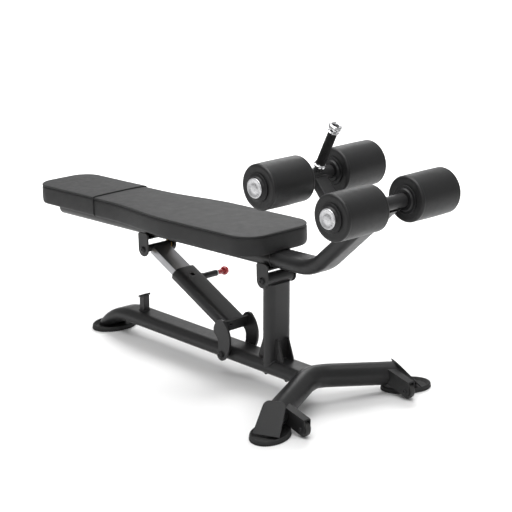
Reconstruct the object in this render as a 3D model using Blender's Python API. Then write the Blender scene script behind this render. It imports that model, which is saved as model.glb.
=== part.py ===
"""Adjustable decline bench: a long pad on a tilting tube frame with two pairs of leg rollers.

Metres, +Z up. +X runs along the bench towards the leg rollers and +Y is its left side.
The origin is on the floor, under the middle of the bench's bounding box.
"""
import math

import bmesh
import bpy
from mathutils import Vector

# ---------------------------------------------------------------- driving dimensions
GAP = 0.0003                    # left between two pieces that touch
WALL = 0.003                    # wall of every frame tube
TUBE_WIDTH = 0.100              # flat-oval main tube, across the bench
TUBE_HEIGHT = 0.050             # flat-oval main tube, other way
HALF_HEIGHT = TUBE_HEIGHT / 2
FLAT_HALF = (TUBE_WIDTH - TUBE_HEIGHT) / 2      # half of the flat part of that tube

POST_X = 0.296                  # upright post and the pad's tilt axis
POST_BOTTOM = 0.093
POST_TOP = 0.3575
PIVOT_Z = 0.373
PAD_TILT = math.radians(2.0)    # head end lower at rest
PAD_DECLINED = math.radians(21.0)       # the same at the bottom of its travel

SPINE_Z = 0.075
SPINE_BEND_START = -0.414
SPINE_BEND_RADIUS = 0.200
REAR_FOOT_X = -0.548
REAR_FOOT_HALF = (0.064, 0.0885)

LEG_APEX_X = 0.4533             # where the two straight legs would cross
LEG_APEX_Z = 0.079
LEG_SPREAD = math.radians(66.0) # each leg from +X
LEG_DROP = 0.083                # fall per metre of leg
LEG_RADIUS = 0.038
LEG_BEND_RADIUS = 0.15
FOOT_REACH = 0.3322             # leg apex to foot centre
FOOT_HALF = (0.0855, 0.060)
FOOT_HEIGHT = 0.016

STRUT_TOP = (-0.2985, 0.3506)   # X and Z of the pin under the pad
STRUT_FOOT = (0.101, 0.075)     # X and Z of the pin through the spine
STRUT_SLOPE = math.radians(25.54)
SLEEVE_START = 0.1496           # distances down the strut from its top pin
SLEEVE_END = 0.4294
INNER_END = 0.3034
PULL_PIN_AT = 0.1905
PULL_PIN_PITCH = 0.0303

PAD_TOP = 0.1595                # heights above the tilt axis, in the pad's own tilted frame
PAD_THICKNESS = 0.067
BOARD_THICKNESS = 0.012
PAD_HEAD = -1.1364
PAD_SEAM = -0.7919
PAD_SEAT = 0.0370
HEAD_HALF_WIDTH = 0.117
SEAT_HALF_WIDTH = 0.1525
SHOULDER = (-0.700, -0.360)     # where the pad begins to widen, and where it has its full width
COVER = 0.003                   # wear cover over the head end
PAD_BOTTOM = PAD_TOP - PAD_THICKNESS
BACKBONE_W = PAD_BOTTOM - GAP - HALF_HEIGHT
BACKBONE_END = -1.085

ANKLE = (0.4899, 0.3181)        # in the pad's frame
ARM_RISE = math.radians(40.3)
KNEE_ALONG_ARM = 0.2031         # back down the arm from the ankle axle
KNEE_OFF_ARM = 0.2307           # and square off it
ARM_BEND_RADIUS = 0.150
HANDLE_LEAN = math.radians(28.4)

ROLLER_RADIUS = 0.0715
ROLLER_NEAR = 0.0700            # inner and outer ends of each roller
ROLLER_FAR = 0.2440
PLATE_IN = 0.0585               # inner and outer faces of the hinge brackets
PLATE_OUT = 0.0645
BRACKET_HALF = 0.014            # half width of the wheel channel, and its height at the tip
BRACKET_TIP_Z = 0.0592
WHEEL_RADIUS = 0.025
WHEEL_AT = (0.660, 0.233, 0.027)

scene_objects = bpy.context.scene.collection.objects


# ---------------------------------------------------------------- scene and materials
def clear_scene():
    for old in list(bpy.data.objects):
        bpy.data.objects.remove(old, do_unlink=True)


def make_material(name, colour, roughness, metallic):
    material = bpy.data.materials.new(name)
    material.use_nodes = True
    shader = material.node_tree.nodes["Principled BSDF"]
    shader.inputs["Base Color"].default_value = (*colour, 1.0)
    shader.inputs["Roughness"].default_value = roughness
    shader.inputs["Metallic"].default_value = metallic
    material.diffuse_color = (*colour, 1.0)
    return material


FINISHES = {
    "paint": ((0.022, 0.022, 0.024), 0.45, 0.3),
    "steel": ((0.42, 0.42, 0.42), 0.35, 1.0),
    "dark_steel": ((0.03, 0.03, 0.03), 0.4, 0.8),
    "chrome": ((0.75, 0.75, 0.76), 0.12, 1.0),
    "silver": ((0.62, 0.62, 0.63), 0.3, 0.9),
    "vinyl": ((0.055, 0.055, 0.057), 0.55, 0.0),
    "foam": ((0.030, 0.030, 0.031), 0.6, 0.0),
    "plastic": ((0.018, 0.018, 0.019), 0.4, 0.0),
    "red": ((0.45, 0.02, 0.025), 0.35, 0.0),
    "rubber": ((0.020, 0.020, 0.020), 0.8, 0.0),
    "wood": ((0.16, 0.11, 0.06), 0.7, 0.0),
}


def finish(obj_name, kind):
    colour, roughness, metallic = FINISHES[kind]
    return make_material(obj_name + "_" + kind, colour, roughness, metallic)


def add_object(name, bm, kind, at=(0, 0, 0), tilt=0.0, parent=None, smooth=True):
    """Turn a bmesh into a named object, placed by its location and a turn about Y."""
    bmesh.ops.remove_doubles(bm, verts=bm.verts, dist=1e-6)
    bmesh.ops.recalc_face_normals(bm, faces=bm.faces)
    mesh = bpy.data.meshes.new(name)
    bm.to_mesh(mesh)
    bm.free()
    mesh.materials.append(finish(name, kind))
    if smooth:
        mesh.shade_smooth()
        mesh.set_sharp_from_angle(angle=math.radians(32))
    obj = bpy.data.objects.new(name, mesh)
    scene_objects.link(obj)
    obj.location = at
    obj.rotation_euler = (0, tilt, 0)
    obj.parent = parent
    return obj


def add_empty(name, at, tilt=0.0, parent=None):
    empty = bpy.data.objects.new(name, None)
    scene_objects.link(empty)
    empty.location = at
    empty.rotation_euler = (0, tilt, 0)
    empty.parent = parent
    return empty


def boolean(target, tool, operation="DIFFERENCE"):
    """Cut or join one object with another, which stays hidden as a guide."""
    tool.hide_render = True
    tool.display_type = "WIRE"
    modifier = target.modifiers.new(operation.lower(), "BOOLEAN")
    modifier.operation = operation
    modifier.object = tool
    return modifier


# ---------------------------------------------------------------- outlines
def arc(centre, radius, start, end, steps):
    """Points on an arc, angles in degrees, both ends included."""
    points = []
    for i in range(steps + 1):
        angle = math.radians(start + (end - start) * i / steps)
        points.append((centre[0] + radius * math.cos(angle), centre[1] + radius * math.sin(angle)))
    return points


def flat_oval(width, height, steps=6):
    offset = (width - height) / 2
    right = arc((offset, 0), height / 2, -90, 90, steps)
    left = arc((-offset, 0), height / 2, 90, 270, steps)
    return right + left


def circle(radius, steps=24):
    return arc((0, 0), radius, 0, 360, steps)[:-1]


def rectangle(width, height):
    x, y = width / 2, height / 2
    return [(-x, -y), (x, -y), (x, y), (-x, y)]


# ---------------------------------------------------------------- solid builders
def bridge_rings(bm, rings, closed=False):
    """Quads between neighbouring rings of vertices; each ring is a closed loop."""
    pairs = list(zip(rings, rings[1:]))
    if closed:
        pairs.append((rings[-1], rings[0]))
    for first, second in pairs:
        count = len(first)
        for i in range(count):
            j = (i + 1) % count
            bm.faces.new((first[i], first[j], second[j], second[i]))


def tube_mesh(stations, outer, inner=None, trim=None):
    """Sweep an outline along stations (centre, side, up). With an inner outline it is a hollow tube.

    trim moves a point of the first or last ring: trim(end, point) gives the new point."""
    bm = bmesh.new()

    def rings(outline):
        made = []
        for k, (centre, side, up) in enumerate(stations):
            ring = []
            for u, v in outline:
                point = centre + side * u + up * v
                if trim and k in (0, len(stations) - 1):
                    point = trim(0 if k == 0 else 1, point)
                ring.append(bm.verts.new(point))
            made.append(ring)
        return made

    outside = rings(outer)
    bridge_rings(bm, outside)
    if inner is None:
        bm.faces.new(outside[0])
        bm.faces.new(outside[-1])
    else:
        inside = rings(inner)
        bridge_rings(bm, inside)
        for end in (0, -1):
            bridge_rings(bm, [outside[end], inside[end]])
    return bm


def straight_stations(start, end):
    """Stations of a straight run in the XZ plane, with the outline's width along Y."""
    start = Vector(start)
    end = Vector(end)
    forward = (end - start).normalized()
    side = Vector((0, 1, 0))
    up = forward.cross(side)
    if up.z < 0 or (abs(up.z) < 1e-6 and up.x < 0):
        up = -up
    return [(start, side, up), (end, side, up)]


def hollow_oval(stations):
    """The frame's flat-oval tube, swept along stations and open at both ends."""
    outer = flat_oval(TUBE_WIDTH, TUBE_HEIGHT)
    inner = flat_oval(TUBE_WIDTH - 2 * WALL, TUBE_HEIGHT - 2 * WALL)
    return tube_mesh(stations, outer, inner)


def bent_stations(points, radius, steps):
    """Stations along start, corner, end in the XZ plane, with a round bend at the corner."""
    start, corner, end = (Vector((x, 0, z)) for x, z in points)
    first = (corner - start).normalized()
    second = (end - corner).normalized()
    turn = first.angle(second)
    reach = radius * math.tan(turn / 2)
    begin = corner - first * reach
    side = Vector((0, 1, 0))
    lift = (second - first * first.dot(second)).normalized()
    centre = begin + lift * radius
    sign = 1 if lift.z > 0 else -1
    stations = [(start, side, lift * sign)]
    for i in range(steps + 1):
        angle = turn * i / steps
        outward = -lift * math.cos(angle) + first * math.sin(angle)
        stations.append((centre + outward * radius, side, -outward * sign))
    square = second.cross(side)
    if square.dot(stations[-1][2]) < 0:
        square = -square
    stations.append((end, side, square))
    return stations


def turned(profile, segments=32, axis="Y"):
    """A body of revolution about Y, X or Z. The profile is (radius, along) points; radius 0 closes an end."""
    bm = bmesh.new()
    loops = []
    for radius, along in profile:
        ring = []
        count = segments if radius > 0 else 1
        for i in range(count):
            angle = 2 * math.pi * i / segments
            across, high = radius * math.cos(angle), radius * math.sin(angle)
            place = {"Y": (across, along, high), "X": (along, across, high), "Z": (across, high, along)}[axis]
            ring.append(bm.verts.new(place))
        loops.append(ring)
    hollow = profile[0][0] > 0
    pairs = list(zip(loops, loops[1:]))
    if hollow:
        pairs.append((loops[-1], loops[0]))
    for first, second in pairs:
        for i in range(segments):
            j = (i + 1) % segments
            corners = [first[i % len(first)], first[j % len(first)], second[j % len(second)], second[i % len(second)]]
            unique = []
            for vert in corners:
                if vert not in unique:
                    unique.append(vert)
            if len(unique) > 2:
                bm.faces.new(unique)
    return bm


def slab(outline, low, high, plane="XZ"):
    """An outline in the XZ or XY plane, extruded along the third axis from low to high."""
    bm = bmesh.new()
    rings = []
    for level in (low, high):
        if plane == "XZ":
            rings.append([bm.verts.new((u, level, v)) for u, v in outline])
        else:
            rings.append([bm.verts.new((u, v, level)) for u, v in outline])
    bridge_rings(bm, rings)
    bm.faces.new(rings[0])
    bm.faces.new(rings[1])
    return bm


def block(low, high):
    outline = [(low[0], low[2]), (high[0], low[2]), (high[0], high[2]), (low[0], high[2])]
    return slab(outline, low[1], high[1])


def washer(outer, inner, low, high, segments=24):
    return turned([(outer, low), (outer, high), (inner, high), (inner, low)], segments)


def rod(radius, low, high, segments=16, axis="Y"):
    return turned([(0, low), (radius, low), (radius, high), (0, high)], segments, axis)


def headed_bolt(shank, head, grip, head_height, segments=16):
    """A pin along Y with a domed head and a nut outside a grip of +-grip."""
    end = grip + head_height
    dome = 0.002
    return turned([
        (0, -end), (head - dome, -end), (head, -end + dome), (head, -grip), (shank, -grip),
        (shank, grip), (head, grip), (head, end - dome), (head - dome, end), (0, end),
    ], segments)


# ---------------------------------------------------------------- the fixed frame
def leg_point(reach, sign, lift=0.0):
    """A point on a leg's centre line; sign is +1 on the left (+Y) and -1 on the right."""
    return Vector((
        LEG_APEX_X + reach * math.cos(LEG_SPREAD),
        sign * reach * math.sin(LEG_SPREAD),
        LEG_APEX_Z - LEG_DROP * reach + lift,
    ))


def leg_frame(sign):
    forward = Vector((math.cos(LEG_SPREAD), sign * math.sin(LEG_SPREAD), -LEG_DROP)).normalized()
    side = forward.cross(Vector((0, 0, 1))).normalized()
    return forward, side, side.cross(forward)


END_TOP = (0.293, 0.0885)       # reach and height of the sloped leg end
END_FOOT = (0.359, 0.0175)
END_PLATE_TOP = -0.009          # along the slope from END_TOP
END_PLATE_LENGTH = 0.105


def leg_end_plane(sign):
    top = leg_point(END_TOP[0], sign)
    top.z = END_TOP[1]
    foot = leg_point(END_FOOT[0], sign)
    foot.z = END_FOOT[1]
    down = (foot - top).normalized()
    side = leg_frame(sign)[1]
    normal = side.cross(down)
    if normal.z < 0:
        normal = -normal
    return top, down, side, normal


def leg_stations():
    """From the right foot, round the bend on the bench's centre line, to the left foot."""
    turn = math.pi - 2 * LEG_SPREAD
    reach = LEG_BEND_RADIUS * math.tan(turn / 2)
    centre_x = LEG_APEX_X + LEG_BEND_RADIUS / math.cos(turn / 2)
    stations = []
    right, left = leg_frame(-1), leg_frame(1)
    stations.append((leg_point(END_FOOT[0], -1), right[1] * -1, right[2]))
    stations.append((leg_point(reach, -1), right[1] * -1, right[2]))
    steps = 6
    for i in range(1, steps):
        angle = -turn / 2 + turn * i / steps
        drop = LEG_DROP * reach * abs(angle) / (turn / 2)
        outward = Vector((-math.cos(angle), math.sin(angle), 0))
        centre = Vector((centre_x, 0, LEG_APEX_Z - drop)) + outward * LEG_BEND_RADIUS
        stations.append((centre, -outward, Vector((0, 0, 1))))
    stations.append((leg_point(reach, 1), left[1], left[2]))
    stations.append((leg_point(END_FOOT[0], 1), left[1], left[2]))
    return stations


def make_leg():
    planes = {0: leg_end_plane(-1), 1: leg_end_plane(1)}
    frames = {0: leg_frame(-1)[0], 1: leg_frame(1)[0]}

    def trim(end, point):
        top, _, _, normal = planes[end]
        forward = frames[end]
        return point + forward * ((top - point).dot(normal) / forward.dot(normal))

    outer, inner = circle(LEG_RADIUS, 20), circle(LEG_RADIUS - WALL, 20)
    add_object("front_leg_tube", tube_mesh(leg_stations(), outer, inner, trim), "paint")


def leg_cutter(name, sign, clearance=GAP * 2):
    """A guide the shape of one straight leg, which feet and brackets are hollowed with."""
    forward, side, up = leg_frame(sign)
    top, _, _, normal = leg_end_plane(sign)

    def trim(end, point):
        if end == 0:
            return point
        return point + forward * ((top - point).dot(normal) / forward.dot(normal))

    stations = [(leg_point(0.10, sign), side, up), (leg_point(END_FOOT[0], sign), side, up)]
    outline = circle(LEG_RADIUS + clearance, 20)
    return add_object(name, tube_mesh(stations, outline, trim=trim), "paint")


def make_end_plate(name, sign, grown=0.0):
    """Plate that closes a leg's sloped end; grown makes the slot it leaves in the foot."""
    top, down, side, normal = leg_end_plane(sign)
    corner, half_top, half_foot = 0.020, 0.0375 + grown, 0.0445 + grown
    start, end = END_PLATE_TOP - grown, END_PLATE_LENGTH + grown
    rounded = arc((half_top - corner, -start - corner), corner, 0, 90, 5)
    rounded += arc((corner - half_top, -start - corner), corner, 90, 180, 5)
    outline = [(half_foot, end)] + [(u, -v) for u, v in rounded] + [(-half_foot, end)]
    bm = bmesh.new()
    rings = []
    for level in (GAP - grown, 0.0045 + grown):
        rings.append([bm.verts.new(top + side * u + down * v + normal * level) for u, v in outline])
    bridge_rings(bm, rings)
    bm.faces.new(rings[0])
    bm.faces.new(rings[1])
    return add_object(name, bm, "paint")


def make_foot(name, centre, half_size, turn, cutters):
    """An oval rubber foot, with recesses for what stands on it."""
    outline = [(half_size[0] * u, half_size[1] * v) for u, v in circle(1.0, 36)]
    bm = bmesh.new()
    levels = ((0.0, 0.985), (0.002, 1.0), (FOOT_HEIGHT - 0.002, 1.0), (FOOT_HEIGHT, 0.975))
    rings = []
    cos_turn, sin_turn = math.cos(turn), math.sin(turn)
    for z, scale in levels:
        ring = []
        for u, v in outline:
            x, y = u * scale, v * scale
            ring.append(bm.verts.new((x * cos_turn - y * sin_turn, x * sin_turn + y * cos_turn, z)))
        rings.append(ring)
    bridge_rings(bm, rings)
    bm.faces.new(rings[0])
    bm.faces.new(rings[-1])
    foot = add_object(name, bm, "rubber", at=(centre[0], centre[1], 0))
    for tool in cutters:
        boolean(foot, tool)


def make_wheel_bracket(name, sign, cutter):
    """A folded channel that reaches forward and down from the leg and straddles the wheel."""
    x, y, z = WHEEL_AT
    half, sheet = BRACKET_HALF, 0.003
    tip, fall = x + 0.0165, 0.25

    def top(along):
        return BRACKET_TIP_Z + (tip - along) * fall

    nose = arc((x, z), 0.0185, 30, -100, 6)
    outline = [(0.575, top(0.575)), (tip - 0.003, top(tip - 0.003)), (tip, BRACKET_TIP_Z - 0.003)]
    outline += nose + [(0.575, 0.034)]
    bracket = add_object(name, slab(outline, sign * y - half, sign * y + half), "paint")
    ahead = x + 0.06
    inside = [(0.632, -0.02), (0.632, top(0.632) - sheet), (ahead, top(ahead) - sheet), (ahead, -0.02)]
    slot = add_object(name + "_slot", slab(inside, sign * y - half + sheet, sign * y + half - sheet), "paint")
    boolean(bracket, slot)
    boolean(bracket, cutter)
    hole = add_object(name + "_hole", rod(0.0044, sign * y - 0.03, sign * y + 0.03, 12), "paint", at=(x, 0, z))
    boolean(bracket, hole)
    return bracket


def make_wheel(name, sign):
    x, y, z = WHEEL_AT
    half = BRACKET_HALF - 0.0045
    hub = add_empty(name + "_axis", (x, sign * y, z))
    wheel = turned([
        (0.0046, -half), (0.018, -half), (0.019, -half + 0.001), (WHEEL_RADIUS - 0.002, -half + 0.001),
        (WHEEL_RADIUS, -half + 0.003), (WHEEL_RADIUS, half - 0.003), (WHEEL_RADIUS - 0.002, half - 0.001),
        (0.019, half - 0.001), (0.018, half), (0.0046, half),
    ], 24)
    add_object(name, wheel, "rubber", parent=hub)


def make_spine():
    """The long tube on the floor, bent down at the rear so that it stands on its foot."""
    turn = math.radians(60)
    steps = 8
    up, side = Vector((0, 0, 1)), Vector((0, 1, 0))
    stations = [(Vector((LEG_APEX_X + 0.015, 0, SPINE_Z)), side, up), (Vector((SPINE_BEND_START, 0, SPINE_Z)), side, up)]
    for i in range(1, steps + 1):
        angle = turn * i / steps
        centre = Vector((
            SPINE_BEND_START - SPINE_BEND_RADIUS * math.sin(angle), 0,
            SPINE_Z - SPINE_BEND_RADIUS * (1 - math.cos(angle)),
        ))
        stations.append((centre, side, Vector((-math.sin(angle), 0, math.cos(angle)))))
    spine = add_object("spine_tube", hollow_oval(stations), "paint")
    hole = add_object("strut_foot_hole", rod(0.0066, -0.08, 0.08, 16), "paint",
                      at=(STRUT_FOOT[0], 0, STRUT_FOOT[1]))
    below = add_object("rear_foot_level", block((-0.8, -0.1, -0.2), (-0.45, 0.1, FOOT_HEIGHT + GAP)), "paint")
    leg_shape = tube_mesh(leg_stations(), circle(LEG_RADIUS + GAP, 20))
    boolean(spine, below)
    boolean(spine, add_object("leg_bend_shape", leg_shape, "paint"))
    boolean(spine, hole)


HOUSING_RADIUS = 0.0215


def make_post():
    """Upright post, coped over the spine below and under the pivot housing above."""
    across, along = Vector((0, 1, 0)), Vector((1, 0, 0))
    stations = [(Vector((POST_X, 0, z)), across, along) for z in (POST_BOTTOM, POST_TOP)]
    post = add_object("upright_post", hollow_oval(stations), "paint")
    grown = flat_oval(TUBE_WIDTH + 2 * GAP, TUBE_HEIGHT + 2 * GAP)
    run = straight_stations((POST_X - 0.06, 0, SPINE_Z), (POST_X + 0.06, 0, SPINE_Z))
    boolean(post, add_object("spine_shape", tube_mesh(run, grown), "paint"))
    housing_shape = add_object("pivot_housing_shape", rod(HOUSING_RADIUS + GAP, -0.08, 0.08, 24), "paint",
                               at=(POST_X, 0, PIVOT_Z))
    boolean(post, housing_shape)
    face = HALF_HEIGHT + GAP
    gusset = [(face, 0.1004), (0.057, 0.1004), (0.057, 0.106), (0.034, 0.172), (face, 0.172)]
    for place, direction in (("front", 1), ("rear", -1)):
        outline = [(POST_X + direction * u, v) for u, v in gusset]
        for side, y in (("left", 0.019), ("right", -0.025)):
            add_object("post_gusset_%s_%s" % (place, side), slab(outline, y, y + 0.006), "paint", smooth=False)
    housing = washer(HOUSING_RADIUS, 0.0095, -PLATE_IN + 0.001, PLATE_IN - 0.001)
    add_object("pivot_housing", housing, "paint", at=(POST_X, 0, PIVOT_Z))
    stud = [(0, -0.0445), (0.0055, -0.0445), (0.0055, -0.038), (0.0105, -0.038), (0.0115, -0.036),
            (0.0115, -HALF_HEIGHT - GAP), (0, -HALF_HEIGHT - GAP)]
    for place, offset in (("front", 0.048), ("rear", -0.048)):
        add_object("post_bolt_" + place, turned(stud, 12, "Z"), "dark_steel", at=(POST_X + offset, 0, SPINE_Z))


def make_bumper():
    """Square post on the spine whose rubber cap slopes like the lowered pad's backbone."""
    x, top, half, cap_half, thick = -0.376, 0.1510, 0.0125, 0.0155, 0.0085
    slope = math.tan(PAD_DECLINED)

    def edge(offset, lift=0.0):
        return x + offset, top + lift + offset * slope

    post = [(x - half, SPINE_Z + HALF_HEIGHT + GAP), (x + half, SPINE_Z + HALF_HEIGHT + GAP), edge(half), edge(-half)]
    add_object("bumper_post", slab(post, -half, half), "paint", smooth=False)
    cap = [edge(-cap_half, GAP), edge(cap_half, GAP), edge(cap_half, thick), edge(-cap_half, thick)]
    add_object("bumper_cap", slab(cap, -cap_half, cap_half), "rubber", smooth=False)


def make_frame():
    make_spine()
    make_leg()
    make_post()
    make_bumper()
    make_foot("rear_foot", (REAR_FOOT_X, 0), REAR_FOOT_HALF, 0.0, ())
    for label, sign in (("left", 1), ("right", -1)):
        cutter = leg_cutter("leg_shape_" + label, sign)
        centre = leg_point(FOOT_REACH, sign)
        slot = make_end_plate("leg_end_slot_" + label, sign, grown=2 * GAP)
        make_foot("front_foot_" + label, centre, FOOT_HALF, sign * LEG_SPREAD, (cutter, slot))
        make_end_plate("leg_end_plate_" + label, sign)
        make_wheel_bracket("wheel_bracket_" + label, sign, cutter)
        make_wheel("wheel_" + label, sign)
        x, y, z = WHEEL_AT
        add_object("wheel_pin_" + label, headed_bolt(0.0040, 0.0075, BRACKET_HALF + GAP, 0.004, 12), "steel",
                   at=(x, sign * y, z))
    add_object("strut_foot_pin", headed_bolt(0.006, 0.0115, 0.0668, 0.008), "dark_steel",
               at=(STRUT_FOOT[0], 0, STRUT_FOOT[1]))


# ---------------------------------------------------------------- the tilting pad carriage
def pad_outline(inset, steps=6):
    """Outline of the pad in plan, drawn in by an inset: a narrow head, soft shoulders and a wide seat."""
    head_radius, seat_radius = 0.070, 0.085
    head_half = HEAD_HALF_WIDTH - inset
    seat_half = SEAT_HALF_WIDTH - inset
    head_end = PAD_HEAD + COVER + inset
    seat_end = PAD_SEAT - inset
    points = arc((seat_end - seat_radius, seat_half - seat_radius), seat_radius, 0, 90, steps)
    shoulder_steps = 6
    for i in range(shoulder_steps + 1):
        t = i / shoulder_steps
        ease = t * t * (3 - 2 * t)
        along = SHOULDER[1] + (SHOULDER[0] - SHOULDER[1]) * t
        points.append((along, seat_half + (head_half - seat_half) * ease))
    points += arc((head_end + head_radius, head_half - head_radius), head_radius, 90, 180, steps)
    return points + [(u, -v) for u, v in reversed(points)]


def head_outline(offset, seam, steps=6):
    """The head end of that outline, grown by an offset and closed straight across at the seam."""
    radius = 0.070 + offset
    half = HEAD_HALF_WIDTH + offset
    head_end = PAD_HEAD + COVER - offset
    points = [(seam, half)] + arc((head_end + radius, half - radius), radius, 90, 180, steps)
    return points + [(u, -v) for u, v in reversed(points)]


def stacked(levels):
    """A solid through outlines of equal point count, from (height, outline) pairs."""
    bm = bmesh.new()
    rings = []
    for height, outline in levels:
        rings.append([bm.verts.new((u, v, height)) for u, v in outline])
    bridge_rings(bm, rings)
    bm.faces.new(rings[0])
    bm.faces.new(rings[-1])
    return bm


def make_pad(carriage):
    board_top = PAD_BOTTOM + BOARD_THICKNESS
    edge = 0.009
    cushion = stacked([
        (board_top + GAP, pad_outline(0.003)), (board_top + 0.005, pad_outline(0)),
        (PAD_TOP - edge, pad_outline(0)), (PAD_TOP - edge * 0.3, pad_outline(edge * 0.3)),
        (PAD_TOP, pad_outline(edge)),
    ])
    add_object("cushion", cushion, "vinyl", parent=carriage)
    board = slab(pad_outline(0.004), PAD_BOTTOM, board_top, "XY")
    add_object("cushion_board", board, "wood", parent=carriage)
    top = PAD_TOP + COVER
    shell = stacked([
        (PAD_BOTTOM + 0.001, head_outline(COVER, PAD_SEAM)), (top - edge, head_outline(COVER, PAD_SEAM)),
        (top - edge * 0.3, head_outline(COVER - edge * 0.3, PAD_SEAM)), (top, head_outline(COVER - edge, PAD_SEAM)),
    ])
    shell = add_object("head_cover", shell, "vinyl", parent=carriage)
    past = PAD_SEAM + 0.05
    inside = stacked([
        (PAD_BOTTOM - 0.05, head_outline(GAP, past)), (PAD_TOP - edge + GAP, head_outline(GAP, past)),
        (PAD_TOP - edge * 0.3 + GAP, head_outline(GAP - edge * 0.3, past)),
        (PAD_TOP + GAP, head_outline(GAP - edge, past)),
    ])
    boolean(shell, add_object("head_cover_inside", inside, "vinyl", parent=carriage))


def arm_point(along, off=0.0):
    """A point beside the rising arm: along is measured down from the ankle axle, off is square to it."""
    c, s = math.cos(ARM_RISE), math.sin(ARM_RISE)
    return Vector((ANKLE[0] - along * c - off * s, 0, ANKLE[1] - along * s + off * c))


AXLE_RADIUS = 0.0215


def make_arm(carriage):
    joint = 0.020
    run = straight_stations((BACKBONE_END, 0, BACKBONE_W), (joint - GAP, 0, BACKBONE_W))
    add_object("pad_backbone", hollow_oval(run), "paint", parent=carriage)
    plug = tube_mesh(straight_stations((BACKBONE_END - 0.003, 0, BACKBONE_W), (BACKBONE_END - GAP, 0, BACKBONE_W)),
                     flat_oval(TUBE_WIDTH - 0.002, TUBE_HEIGHT - 0.002))
    add_object("backbone_plug", plug, "plastic", parent=carriage)
    corner_u = ANKLE[0] - (ANKLE[1] - BACKBONE_W) / math.tan(ARM_RISE)
    bend = bent_stations([(joint, BACKBONE_W), (corner_u, BACKBONE_W), ANKLE], ARM_BEND_RADIUS, 7)
    arm = add_object("roller_arm", hollow_oval(bend), "paint", parent=carriage)
    boolean(arm, axle_shape("ankle_axle_shape", (ANKLE[0], 0, ANKLE[1]), carriage))


def axle_shape(name, centre, carriage):
    return add_object(name, rod(AXLE_RADIUS + GAP, -0.1, 0.1, 24), "paint", at=centre, parent=carriage)


def hinge_bracket(name, u, w, carriage):
    """A folded steel U under the backbone: two cheeks with rounded ends round a pin hole."""
    half, low, top = 0.025, BACKBONE_W - HALF_HEIGHT, BACKBONE_W - 0.010
    cheek = arc((u, w), half, 180, 360, 10)
    cheek += [(u + half, top - 0.006), (u + half - 0.006, top), (u - half + 0.006, top), (u - half, top - 0.006)]
    bracket = add_object(name, slab(cheek, -PLATE_OUT, -PLATE_IN), "paint", parent=carriage)
    other = add_object(name + "_far_cheek", slab(cheek, PLATE_IN, PLATE_OUT), "paint", parent=carriage)
    bridge = block((u - half, -PLATE_IN - 0.003, low - 0.006), (u + half, PLATE_IN + 0.003, low - GAP))
    bridge = add_object(name + "_bridge", bridge, "paint", parent=carriage)
    hole = add_object(name + "_hole", rod(0.0068, -0.1, 0.1), "paint", at=(u, 0, w), parent=carriage)
    boolean(bracket, bridge, "UNION")
    boolean(bracket, other, "UNION")
    boolean(bracket, hole)


def make_knee_post(carriage):
    """Square post from the rising arm up to the knee axle."""
    foot = arm_point(KNEE_ALONG_ARM, HALF_HEIGHT + GAP)
    knee = arm_point(KNEE_ALONG_ARM, KNEE_OFF_ARM)
    side = Vector((0, 1, 0))
    along = side.cross((knee - foot).normalized())
    tube = tube_mesh([(foot, side, along), (knee, side, along)], rectangle(0.050, 0.030), rectangle(0.044, 0.024))
    post = add_object("knee_post", tube, "paint", parent=carriage)
    boolean(post, axle_shape("knee_axle_shape", knee, carriage))
    return knee


SHAFT_RADIUS = 0.0125
AXLE_END = 0.0600
SHAFT_END = 0.2538


def make_axle(name, centre, carriage):
    profile = [(0, -SHAFT_END), (SHAFT_RADIUS, -SHAFT_END), (SHAFT_RADIUS, -AXLE_END), (AXLE_RADIUS, -AXLE_END),
               (AXLE_RADIUS, AXLE_END), (SHAFT_RADIUS, AXLE_END), (SHAFT_RADIUS, SHAFT_END), (0, SHAFT_END)]
    return add_object(name, turned(profile, 24), "paint", at=centre, parent=carriage)


def make_roller(name, centre, sign, carriage):
    """Foam sleeve on a plastic spool, with a pressed metal cap on the outer end."""
    hub = add_empty(name + "_axis", centre, parent=carriage)
    near, far, edge = ROLLER_NEAR, ROLLER_FAR, 0.006
    bore, spool = 0.0305, 0.030
    foam = [(bore, near), (ROLLER_RADIUS - edge, near), (ROLLER_RADIUS - edge * 0.3, near + edge * 0.3),
            (ROLLER_RADIUS, near + edge), (ROLLER_RADIUS, far - edge),
            (ROLLER_RADIUS - edge * 0.3, far - edge * 0.3), (ROLLER_RADIUS - edge, far), (bore, far)]
    shaft_clear = SHAFT_RADIUS + 0.0006
    flange = 0.045
    spool_profile = [
        (shaft_clear, AXLE_END + GAP), (0.033, AXLE_END + GAP), (0.036, near - 0.0045), (flange, near - 0.0045),
        (flange, near - GAP), (spool, near - GAP), (spool, far + GAP), (flange, far + GAP),
        (flange, far + 0.005), (0.036, far + 0.0095), (0.0335, far + 0.0125), (shaft_clear, far + 0.0125),
    ]
    face = far + 0.0125 + GAP
    cap = [(0, face), (0.031, face), (0.031, face + 0.0015), (0.028, face + 0.0035), (0.019, face + 0.0015),
           (0.0145, face + 0.0015), (0.0125, face + 0.003), (0, face + 0.0035)]
    for part, profile, kind, segments in (("foam", foam, "foam", 32), ("hub", spool_profile, "plastic", 20),
                                          ("cap", cap, "silver", 20)):
        placed = [(radius, sign * along) for radius, along in profile]
        add_object(name + "_" + part, turned(placed, segments), kind, parent=hub)


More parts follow.
